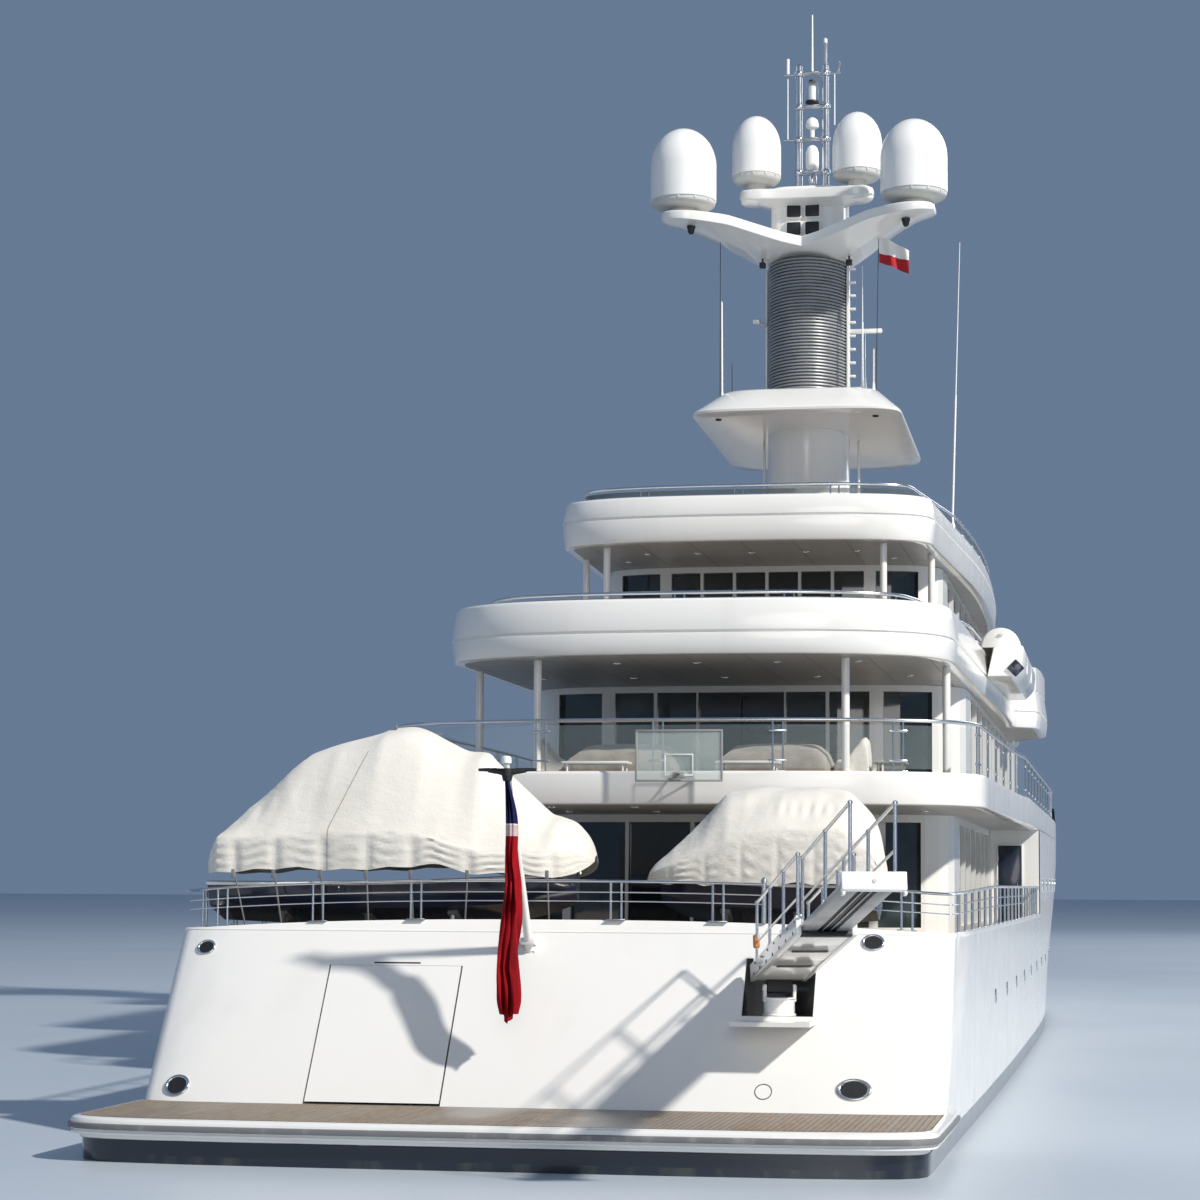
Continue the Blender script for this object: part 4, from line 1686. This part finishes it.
LOUNGE_TOPS = (
    # share of the width, height, fall towards the stern
    (0.0, 0.722, 0.022),
    (0.12, 0.738, 0.026),
    (0.88, 0.738, 0.026),
    (1.0, 0.722, 0.022),
)
COVER_FOOT = 0.6612
for label, x0, x1, seed in (("port", -0.276, -0.026, 0.4), ("stbd", 0.060, 0.310, 1.9)):
    low, high = (x0, 1.841, COVER_FOOT), (x1, 1.989, 0.738)
    nodes = ["lounge_cover_" + label]
    furniture_cover("lounge_wrap_" + label, low, high, LOUNGE_TOPS, taupe, nodes, seed)
CHAIR_TOPS = (
    # share of the width from the inboard arm, height, fall towards the stern
    (0.0, 0.700, 0.004),
    (0.3, 0.708, 0.006),
    (0.6, 0.730, 0.006),
    (0.85, 0.752, 0.010),
    (1.0, 0.748, 0.012),
)
PORT_CHAIR_TOPS = tuple((1 - share, top, fall) for share, top, fall in CHAIR_TOPS[::-1])
for label, x0, x1, tops in (("port", -0.357, -0.281, PORT_CHAIR_TOPS), ("stbd", 0.315, 0.391, CHAIR_TOPS)):
    low, high = (x0, 1.903, COVER_FOOT), (x1, 1.987, 0.752)
    furniture_cover("chair_wrap_" + label, low, high, tops, canvas, seed=2.7)

# Low tables with moulded tops on four legs stand in front of the loungers, and to starboard a low
# bench of teak slats, screwed to its frame.
FEET = 0.6608
furniture = bmesh.new()
for x0, x1 in ((-0.262, -0.116), (0.074, 0.212)):
    block(furniture, (x0, 1.770, 0.6845), (x1, 1.828, 0.6905), bevel=0.002)
    for x in (x0 + 0.012, x1 - 0.012):
        for y in (1.776, 1.822):
            bar(furniture, (x, y, FEET), (x, y, 0.686), 0.0022)
piece("deck_tables", furniture, shell)
bench = bmesh.new()
for k in range(5):
    block(bench, (0.400, 1.912 + k * 0.0135, 0.690), (0.472, 1.9235 + k * 0.0135, 0.694), bevel=0.001)
for x in (0.410, 0.462):
    block(bench, (x - 0.003, 1.914, 0.6845), (x + 0.003, 1.976, 0.690), bevel=0.0008)
    for y in (1.918, 1.972):
        block(bench, (x - 0.003, y - 0.003, FEET), (x + 0.003, y + 0.003, 0.6845), bevel=0.0008)
piece("deck_bench", bench, teak)

# Practice board on the aft rail: a clear sheet in a slim grey frame, with a painted inner square
# and a short hoop arm. Two splayed stays hold it to the deck's edge.
board_grey = Finish("board_frame", (0.3, 0.31, 0.31), 0.4, "clear_board")
board_grey.roughened(50, 4, 0.2, 0.32)
clear = Finish("clear_sheet", (0.62, 0.72, 0.69), 0.04, "clear_board", Alpha=0.28, Specular_IOR_Level=0.6)
clear.roughened(12, 5, 0.1, 0.03)
BOARD_FOOT, BOARD_HALF, BOARD_HEIGHT = (0.037, 1.524, 0.636), 0.091, 0.107


def framed(bm, low, high, wide, bevel):
    (x0, y0, z0), (x1, y1, z1) = low, high
    block(bm, (x0, y0, z0), (x1, y1, z0 + wide), bevel=bevel)
    block(bm, (x0, y0, z1 - wide), (x1, y1, z1), bevel=bevel)
    block(bm, (x0, y0, z0 + wide), (x0 + wide, y1, z1 - wide), bevel=bevel)
    block(bm, (x1 - wide, y0, z0 + wide), (x1, y1, z1 - wide), bevel=bevel)


board_frame, board_sheet, board_square = bmesh.new(), bmesh.new(), bmesh.new()
framed(board_frame, (-BOARD_HALF, -0.001, 0), (BOARD_HALF, 0.004, BOARD_HEIGHT), 0.0042, 0.0008)
block(board_frame, (-0.012, -0.006, 0.008), (0.012, 0.001, 0.020), bevel=0.001)
bar(board_frame, (0, -0.004, 0.016), (0.004, -0.024, 0.019), 0.0035, 12)
for side in (-1, 1):
    bar(board_frame, (side * 0.004, 0.004, 0.010), (side * 0.026, 0.033, 0.006), 0.0026, 10)
sheet_half, sheet_top = BOARD_HALF - 0.003, BOARD_HEIGHT - 0.003
block(board_sheet, (-sheet_half, 0.0006, 0.003), (sheet_half, 0.0024, sheet_top), bevel=0.0002)
framed(board_square, (-0.030, -0.0004, 0.012), (0.030, 0.0006, 0.057), 0.0026, 0.0002)
for name, part, finish in (
    ("board_frame", board_frame, board_grey),
    ("board_sheet", board_sheet, clear),
    ("board_square", board_square, shell),
):
    bmesh.ops.translate(part, vec=BOARD_FOOT, verts=part.verts)
    piece(name, part, finish, stands_for=["backboard"])

# Wing lockers: a plated tray faired to the bridge deck's side, under a barrel-vaulted lid in two
# lengths with a rubbed seam. A dark lamp panel closes the tray's lower after corner.
TRAY = (
    # across, height
    (0.5885, 0.9663), (0.648, 0.9663), (0.6545, 0.9675), (0.6745, 0.9885), (0.6785, 0.9965),
    (0.6818, 1.0290), (0.6815, 1.0420), (0.6795, 1.0458), (0.6060, 1.0458),
)
TRAY_X, TRAY_Z, POD_AFT, POD_FORE = 0.635, 1.006, 3.0505, 3.9495
LID_AFT, LID_FORE, LID_X, LID_Z, LID_RADIUS = 3.1002, 3.8998, 0.621, 1.0465, 0.0515
TRAY_EASE = ((0, 0.94), (0.0012, 0.975), (0.004, 1.0))  # distance from the end, share of the section
LID_EASE = ((0, 0.90), (0.0012, 0.96), (0.0045, 1.0))


def eased(aft, fore, ease):
    """Stations with their shares of the section, small at both ends."""
    return [(aft + run, share) for run, share in ease] + [(fore - run, share) for run, share in ease[::-1]]


def tray_ring(side, y, share):
    return [(side * (TRAY_X + (x - TRAY_X) * share), y, TRAY_Z + (z - TRAY_Z) * share) for x, z in TRAY]


def lid_ring(side, y, share):
    around = [math.pi * k / 24 for k in range(25)]
    reach = LID_RADIUS * share
    return [(side * (LID_X + reach * math.cos(a)), y, LID_Z + reach * math.sin(a)) for a in around]


for label, side in (("port", -1), ("stbd", 1)):
    tray, lid, handle, lamp = (bmesh.new() for _ in range(4))
    stations = eased(POD_AFT, POD_FORE, TRAY_EASE)
    stations[3:3] = [(3.35, 1.0), (3.65, 1.0)]
    rings_skin(tray, [tray_ring(side, *station) for station in stations])
    for y in (3.34, 3.66):
        box_about(tray, (side * 0.6805, y, 1.017), (0.0016, 0.0012, 0.023), bevel=0.0004)
    piece("wing_tray_" + label, tray, paint_house, stands_for=["wing_pod_" + label])
    for aft, fore in ((LID_AFT, 3.4985), (3.5015, LID_FORE)):
        rings_skin(lid, [lid_ring(side, *station) for station in eased(aft, fore, LID_EASE)])
    for y in (3.2, 3.4, 3.6, 3.8):
        box_about(lid, (side * 0.6735, y, 1.05), (0.003, 0.008, 0.006), bevel=0.001)
    piece("wing_lid_" + label, lid, paint_house, stands_for=["wing_pod_" + label])
    box_about(handle, (side * LID_X, 3.0975, 1.0785), (0.007, 0.002, 0.0015), bevel=0.0008)
    piece("wing_lid_handle_" + label, handle, steel)
    diamond = Matrix.Rotation(math.pi / 4, 4, "Y")
    box_about(lamp, (side * 0.662, 3.04725, 0.9875), (0.0165, 0.00275, 0.0165), diamond, 0.002)
    piece("wing_lamp_" + label, lamp, navy)

# Bridge wing stations: closed-in bulwarks of painted plate, welded above the band, with an eased
# top. Two short lamp stems stand on each.
WING_PLAN = (
    # across, station
    (0.6215, 4.5340), (0.6640, 4.5340), (0.6700, 4.6000), (0.6760, 4.7000), (0.6780, 4.9800),
    (0.6700, 5.1000), (0.6215, 5.1000),
)
WING_X, WING_Y, WING_TOP = 0.648, 4.815, 1.1095
WING_LEVELS = ((1.0375, 1.0), (1.1020, 1.0), (1.1075, 0.985), (1.1098, 0.95))  # height, share


def wing_ring(side, z, share):
    along = 1 - (1 - share) * 0.1
    return [
        (side * (WING_X + (x - WING_X) * share), WING_Y + (y - WING_Y) * along, z) for x, y in WING_PLAN
    ]


wings = bmesh.new()
for side in (-1, 1):
    rings_skin(wings, [wing_ring(side, *level) for level in WING_LEVELS])
    for y in (4.62, 5.0):
        bar(wings, (side * WING_X, y, WING_TOP), (side * WING_X, y, WING_TOP + 0.008), 0.006, 16, 0.004)
piece("bridge_wings", wings, paint_house, stands_for=["bridge_deck"], smooth=50)

# Forecastle's after bulkhead: across each side deck, from the house to the shell plating, with a
# dark weathertight door in a rounded frame.
HOUSE_SIDE, BULKHEAD_AFT, BULKHEAD_FORE = 0.5455, 4.002, 4.014
BULKHEAD_FOOT, BULKHEAD_TOP, DOOR_X = 0.3155, 0.5898, 0.603
bulkhead, doors, door_gear = bmesh.new(), bmesh.new(), bmesh.new()
for side in (-1, 1):
    rings = []
    for k in range(13):
        z = BULKHEAD_FOOT + (BULKHEAD_TOP - BULKHEAD_FOOT) * k / 12
        outer = half_breadth(FORECASTLE, z) - 0.002
        aft = [(side * x, BULKHEAD_AFT, z) for x in (HOUSE_SIDE, outer)]
        rings.append(aft + [(side * x, BULKHEAD_FORE, z) for x in (outer, HOUSE_SIDE)])
    rings_skin(bulkhead, rings)
    door, hinge, handle = side * DOOR_X, side * (DOOR_X - 0.034), side * (DOOR_X + 0.022)
    block(doors, (door - 0.034, 3.998, 0.322), (door + 0.034, 4.003, 0.545), bevel=0.0015)
    framed(bulkhead, (door - 0.038, 3.9965, 0.318), (door + 0.038, 4.003, 0.549), 0.004, 0.001)
    for z in (0.36, 0.43, 0.50):
        bar(door_gear, (hinge, 3.9955, z), (hinge, 3.9955, z + 0.018), 0.0018, 8)
    bar(door_gear, (handle, 3.996, 0.425), (handle, 3.990, 0.425), 0.0015, 8)
    bar(door_gear, (handle, 3.990, 0.420), (handle, 3.990, 0.438), 0.0018, 8)
piece("side_deck_bulkheads", bulkhead, paint_house)
piece("side_deck_doors", doors, navy)
piece("side_deck_door_gear", door_gear, steel)

# Gangway: a turret on the opened shelf, a boom of white side plates bolted to a grey underside,
# and a slotted alloy section that slides in it. Pieces are drawn pointing aft and level.
PIVOT = Vector((0.384, 0.450, 0.258))
GANGWAY_SLEW, GANGWAY_LIFT = math.radians(17), math.radians(-11)
slewed = Matrix.Rotation(GANGWAY_SLEW, 4, "Z")
deployed = Matrix.Translation(PIVOT) @ slewed @ Matrix.Rotation(GANGWAY_LIFT, 4, "X")
alloy = Finish("gangway_alloy", (0.42, 0.44, 0.46), 0.38, "stainless", Metallic=0.6)
alloy.roughened(26, 5, 0.25, 0.26, (1, 0.2, 1))
alloy.coloured(alloy.noise(10, 5).ramp(0.4, 0.8), (0.42, 0.44, 0.46), (0.24, 0.25, 0.27))
BOOM, SECTION, BOOM_HALF, RAIL_OVER = 0.430, 0.340, 0.042, 0.130
LEAN = -math.tan(math.radians(11))

POST_KNOB = [(0.0, -0.003), (0.0034, -0.002), (0.0038, 0.0015), (0.0, 0.004)]


def gangway_piece(name, bm, finish, length="boom", stands=True):
    """A piece of the boom or of the section, drawn pointing aft and level."""
    bmesh.ops.transform(bm, matrix=deployed, verts=bm.verts)
    nodes = ["passerelle_" + length] if stands else ()
    return piece(name, bm, finish, body="gangway_" + length, stands_for=nodes)


def beam(bm, x, half, aft, fore, low, high, bevel):
    block(bm, (x - half, aft, low), (x + half, fore, high), bevel=bevel)


def leaning(x, y, height):
    """A point over the gangway, as far aft as an upright post leans at the lift shown."""
    return (x, y + LEAN * height, height)


def gangway_rails(bm, half, start, end, count, foot):
    """Paired posts that stand upright at the lift shown, with a handrail and a knee rail."""
    for x in (-half, half):
        for k in range(count):
            y, last = -(start + (end - start) * k / (count - 1)), k == count - 1
            for way in (0.0,) if last else (-0.0042, 0.0042):
                radius = 0.0026 if last else 0.0019
                bar(bm, leaning(x, y + way, foot), leaning(x, y + way, RAIL_OVER), radius, 10)
            spun(bm, POST_KNOB, leaning(x, y, RAIL_OVER), 12)
            box_about(bm, (x, y + LEAN * foot, foot - 0.0005), (0.0045, 0.008, 0.0025), bevel=0.0006)
        for height, radius in ((RAIL_OVER, 0.0026), (RAIL_OVER * 0.52, 0.0019)):
            bar(bm, leaning(x, -start, height), leaning(x, -end, height), radius, 10)


boom_plates, boom_under, boom_bolts, boom_rails = (bmesh.new() for _ in range(4))
for side in (-1, 1):
    beam(boom_plates, side * BOOM_HALF, 0.004, -BOOM, 0.006, 0.012, 0.040, 0.0012)
    inner, outer = side * (BOOM_HALF + 0.0035), side * (BOOM_HALF + 0.0048)
    for k in range(7):
        y = -0.030 - k * 0.062
        for aft, z, radius in ((0, 0.019, 0.0026), (0.016, 0.034, 0.0018)):
            bar(boom_bolts, (inner, y - aft, z), (outer, y - aft, z), radius, 12)
for aft, fore in ((-0.420, -0.290), (-0.282, -0.150), (-0.142, -0.010)):
    beam(boom_plates, 0, 0.036, aft, fore, 0.0125, 0.0150, 0.001)
beam(boom_plates, 0, 0.046, -BOOM + 0.0005, 0.0055, 0.0135, 0.0180, 0.0008)
beam(boom_under, 0, 0.038, -BOOM - 0.0006, -BOOM + 0.012, 0.0105, 0.0178, 0.001)
for y in (-0.286, -0.146):
    beam(boom_under, 0, 0.028, y - 0.006, y + 0.006, 0.0110, 0.0135, 0.0012)
beam(boom_under, 0, 0.0205, -0.009, 0.009, -0.007, 0.0145, 0.0015)
gangway_rails(boom_rails, BOOM_HALF, 0.034, BOOM - 0.012, 4, 0.040)
gangway_piece("boom_plates", boom_plates, paint_house)
gangway_piece("boom_underside", boom_under, black)
gangway_piece("boom_bolts", boom_bolts, black, stands=False)
gangway_piece("boom_rails", boom_rails, steel)
amber = Finish("amber_lens", (0.72, 0.27, 0.05), 0.3, None)
amber.coloured(amber.noise(90, 3), (0.78, 0.32, 0.08), (0.5, 0.15, 0.03))
FOOT_LAMP = [(0.0, 0.058), (0.0048, 0.058), (0.0056, 0.061), (0.0056, 0.078), (0.0, 0.081)]
foot_lamp = bmesh.new()
spun(foot_lamp, FOOT_LAMP, (-BOOM_HALF - 0.001, -0.034 + LEAN * 0.07, 0), 16)
gangway_piece("gangway_foot_lamp", foot_lamp, amber, stands=False)

# Sliding section: two alloy beams with slots between them, teak treads, and a white end box.
END, TREADS, TREAD_PITCH = -BOOM - SECTION, 19, 0.0225
section_frame, section_slots, section_end, section_rails, tread = (bmesh.new() for _ in range(5))
for side in (-1, 1):
    beam(section_frame, side * 0.0245, 0.0105, END, -BOOM + 0.09, 0.0184, 0.0318, 0.001)
    beam(section_frame, side * 0.0060, 0.0012, END + 0.01, -BOOM + 0.088, 0.0190, 0.0206, 0.0003)
    beam(section_end, side * 0.0425, 0.0022, END - 0.0135, END - 0.002, 0.0050, 0.0100, 0.001)
beam(section_slots, 0, 0.0150, END, -BOOM + 0.0895, 0.0212, 0.0290, 0.0004)
for k in range(TREADS):
    y = END + 0.006 + k * TREAD_PITCH
    beam(tread, 0, 0.0335, y, y + 0.0195, 0.0296, 0.0319, 0.0006)
beam(section_end, 0, 0.045, END - 0.014, END, 0.0115, 0.0370, 0.0016)
gangway_rails(section_rails, 0.031, BOOM - 0.035, BOOM + SECTION - 0.004, 3, 0.0325)
gangway_piece("section_frame", section_frame, alloy, "section")
gangway_piece("section_slots", section_slots, black, "section")
gangway_piece("section_treads", tread, teak, "section")
gangway_piece("section_end", section_end, paint_house, "section")
gangway_piece("section_rails", section_rails, steel, "section")
end_lamp = bmesh.new()
bar(end_lamp, (0.0, END - 0.0134, 0.024), (0.0, END - 0.0152, 0.024), 0.0028, 16)
gangway_piece("section_end_lamp", end_lamp, lens, "section", stands=False)

# Turret: a turned steel casing bolted to the shelf, with a cheek and a pin either side of the boom.
TURRET = [(0.0, 0.2144), (0.0278, 0.2144), (0.0278, 0.2165), (0.0255, 0.2180), (0.0255, 0.2400)]
TURRET += [(0.0278, 0.2415), (0.0278, 0.2438), (0.0, 0.2440)]
turret, pins = bmesh.new(), bmesh.new()
spun(turret, TURRET, (0, 0, 0), 40)
for side in (-1, 1):
    beam(turret, side * 0.0242, 0.0028, -0.0088, 0.0088, 0.2365, 0.2648, 0.0015)
    bar(pins, (side * 0.0268, 0, 0), (side * 0.0282, 0, 0), 0.005, 16)
for k in range(6):
    x, y = 0.0262 * math.cos(math.tau * k / 6), 0.0262 * math.sin(math.tau * k / 6)
    bar(turret, (x, y, 0.2160), (x, y, 0.2176), 0.0012, 6)
upright = Matrix.Translation((PIVOT.x, PIVOT.y, 0)) @ slewed
bmesh.ops.transform(turret, matrix=upright, verts=turret.verts)
piece("gangway_turret_casing", turret, paint_house, body="gangway_turret", stands_for=["passerelle_turret"])
bmesh.ops.transform(pins, matrix=Matrix.Translation(PIVOT) @ slewed, verts=pins.verts)
piece("gangway_pins", pins, steel, body="gangway_turret")

# Running gear, cast and forged: bronze propellers with five raked blades on steel shafts, and
# spade rudders and stabiliser fins in antifouling.
bronze = Finish("propeller_bronze", (0.55, 0.38, 0.17), 0.24, "bronze", Metallic=1.0)
patina = bronze.noise(11, 6).ramp(0.42, 0.75)
bronze.coloured(patina * 0.7, (0.55, 0.38, 0.17), (0.22, 0.2, 0.13))
bronze.roughened(30, 4, 0.3, 0.16)
bronze.relief(bronze.noise(60, 4), 0.0006)
SCREW = Vector((0.290, 0.640, -0.268))
SCREW_SLOPE = math.radians(4.2)
BLADE = (
    # radius, half chord, pitch angle, rake forward, half thickness
    (0.0140, 0.0150, 58.0, 0.000, 0.0030),
    (0.0400, 0.0265, 45.0, 0.001, 0.0024),
    (0.0700, 0.0340, 34.0, 0.003, 0.0018),
    (0.0950, 0.0280, 27.0, 0.006, 0.0012),
    (0.1080, 0.0150, 23.0, 0.008, 0.0007),
    (0.1118, 0.0040, 22.0, 0.009, 0.0004),
)


def propeller_blade(bm, turn, hand):
    chordwise, outward = 20, 22
    root, tip = BLADE[0][0], BLADE[-1][0]

    def ring(j):
        radius = root + (tip - root) * math.sin(math.pi / 2 * j / outward)
        chord, pitch, rake, thick = (between(BLADE, radius, k) for k in (1, 2, 3, 4))
        a = -math.radians(pitch)
        ring = []
        for k in range(chordwise):
            angle = math.tau * k / chordwise
            u, v = chord * math.cos(angle), thick * math.sin(angle)
            x, y = u * math.cos(a) - v * math.sin(a), u * math.sin(a) + v * math.cos(a)
            skew = 0.35 * (radius / 0.112) ** 2
            at = Vector((x, y + rake, math.sqrt(max(radius**2 - x**2, (0.6 * radius) ** 2))))
            ring.append(tuple(Matrix.Rotation(turn + skew, 3, "Y") @ at))
        return [(hand * x, y, z) for x, y, z in ring]

    rings_skin(bm, [ring(j) for j in range(outward + 1)])


SCREW_HUB = [(0.0, -0.0335), (0.006, -0.0325), (0.0125, -0.027), (0.0175, -0.012), (0.019, 0.002)]
SCREW_HUB += [(0.019, 0.034), (0.0, 0.034)]
for label, hand in (("port", -1), ("stbd", 1)):
    screw = bmesh.new()
    spun(screw, SCREW_HUB, (0, 0, 0), 36, Matrix.Rotation(-math.pi / 2, 4, "X"))
    for k in range(5):
        propeller_blade(screw, math.tau * k / 5, hand)
    stand = Matrix.Translation((hand * SCREW.x, SCREW.y, SCREW.z)) @ Matrix.Rotation(SCREW_SLOPE, 4, "X")
    bmesh.ops.transform(screw, matrix=stand, verts=screw.verts)
    node = "propeller_" + label
    piece("screw_" + label, screw, bronze, body=node, stands_for=[node], smooth=60)
repaint(steel, "shaft_port", "shaft_stbd")
repaint(paint_hull, "rudder_port", "rudder_stbd", "fin_port", "fin_stbd")

# Ground tackle: stockless anchors housed against the flare, each under its hawse lip, and a pair
# of capstans on the foredeck.
ANCHOR_Y, ANCHOR_Z = 8.060, 0.470
HAWSE_LIP = [(0.010, -0.004), (0.015, -0.002), (0.016, 0.002), (0.012, 0.004), (0.010, 0.001)]
across_ship = Matrix.Rotation(math.pi / 2, 4, "Y")
tackle, lips = bmesh.new(), bmesh.new()
for side in (-1, 1):
    y, z = ANCHOR_Y, ANCHOR_Z
    x = half_breadth(y, z)
    shank = side * (x + 0.0045)
    bar(tackle, (shank, y, z + 0.036), (shank, y, z - 0.030), 0.0045, 12)
    box_about(tackle, (side * (x + 0.007), y, z - 0.033), (0.007, 0.032, 0.007), bevel=0.002)
    for way in (-1, 1):
        root = (side * (x + 0.008), y + way * 0.024, z - 0.030)
        bar(tackle, root, (side * (x + 0.004), y + way * 0.030, z + 0.004), 0.006, 10, 0.0022)
    spun(lips, HAWSE_LIP, (side * (x + 0.001), y, z + 0.040), 28, across_ship)
piece("anchors", tackle, steel, stands_for=["anchor_port", "anchor_stbd"])
piece("hawse_lips", lips, steel)
CAPSTAN = [(0.0, 0.6605), (0.026, 0.6605), (0.026, 0.664), (0.022, 0.667), (0.016, 0.676)]
CAPSTAN += [(0.0155, 0.684), (0.021, 0.694), (0.0235, 0.698), (0.022, 0.7015), (0.0, 0.703)]
CAPSTAN_X, CAPSTAN_Y, WHELPS = 0.120, 7.960, 8
capstans = bmesh.new()
for x in (-CAPSTAN_X, CAPSTAN_X):
    spun(capstans, CAPSTAN, (x, CAPSTAN_Y, 0), 36)
    for k in range(WHELPS):
        out = Vector((math.cos(math.tau * k / WHELPS), math.sin(math.tau * k / WHELPS), 0))
        foot = Vector((x, CAPSTAN_Y, 0.672)) + 0.0165 * out
        bar(capstans, foot, foot + 0.001 * out + Vector((0, 0, 0.016)), 0.0015, 6)
piece("capstans", capstans, steel, stands_for=["upper_deck"])

# Portlights in the topsides: round dark glass in stainless rings, bolted over the plating in two
# rows along each side.
PORTLIGHTS = (
    # height, first station, spacing, count, radius
    (0.205, 1.55, 0.42, 14, 0.016),
    (0.430, 4.25, 0.36, 9, 0.022),
)
# share of the radius, and height over the plating
PORT_RING = ((0.86, -0.001), (0.86, 0.0008), (0.93, 0.0018), (1.0, 0.0012), (1.03, -0.001))
PORT_PANE = ((0.0, 0.0002), (0.88, 0.0003), (0.88, -0.001))
rings_steel, port_glass = bmesh.new(), bmesh.new()
for z, first, pitch, count, radius in PORTLIGHTS:
    for k in range(count):
        y = first + k * pitch
        x = half_breadth(y, z)
        along = Vector((half_breadth(y + 0.02, z) - half_breadth(y - 0.02, z), 0.04, 0))
        upward = Vector((half_breadth(y, z + 0.02) - half_breadth(y, z - 0.02), 0, 0.04))
        normal = along.cross(upward).normalized()
        if normal.x < 0:
            normal.negate()
        for side in (-1, 1):
            out = Vector((side * normal.x, normal.y, normal.z))
            turn = out.to_track_quat("Z", "Y").to_matrix().to_4x4()
            for bm, outline in ((rings_steel, PORT_RING), (port_glass, PORT_PANE)):
                spun(bm, [(radius * share, h) for share, h in outline], (side * x, y, z), 28, turn)
piece("portlight_rings", rings_steel, steel)
piece("portlight_glass", port_glass, glass)
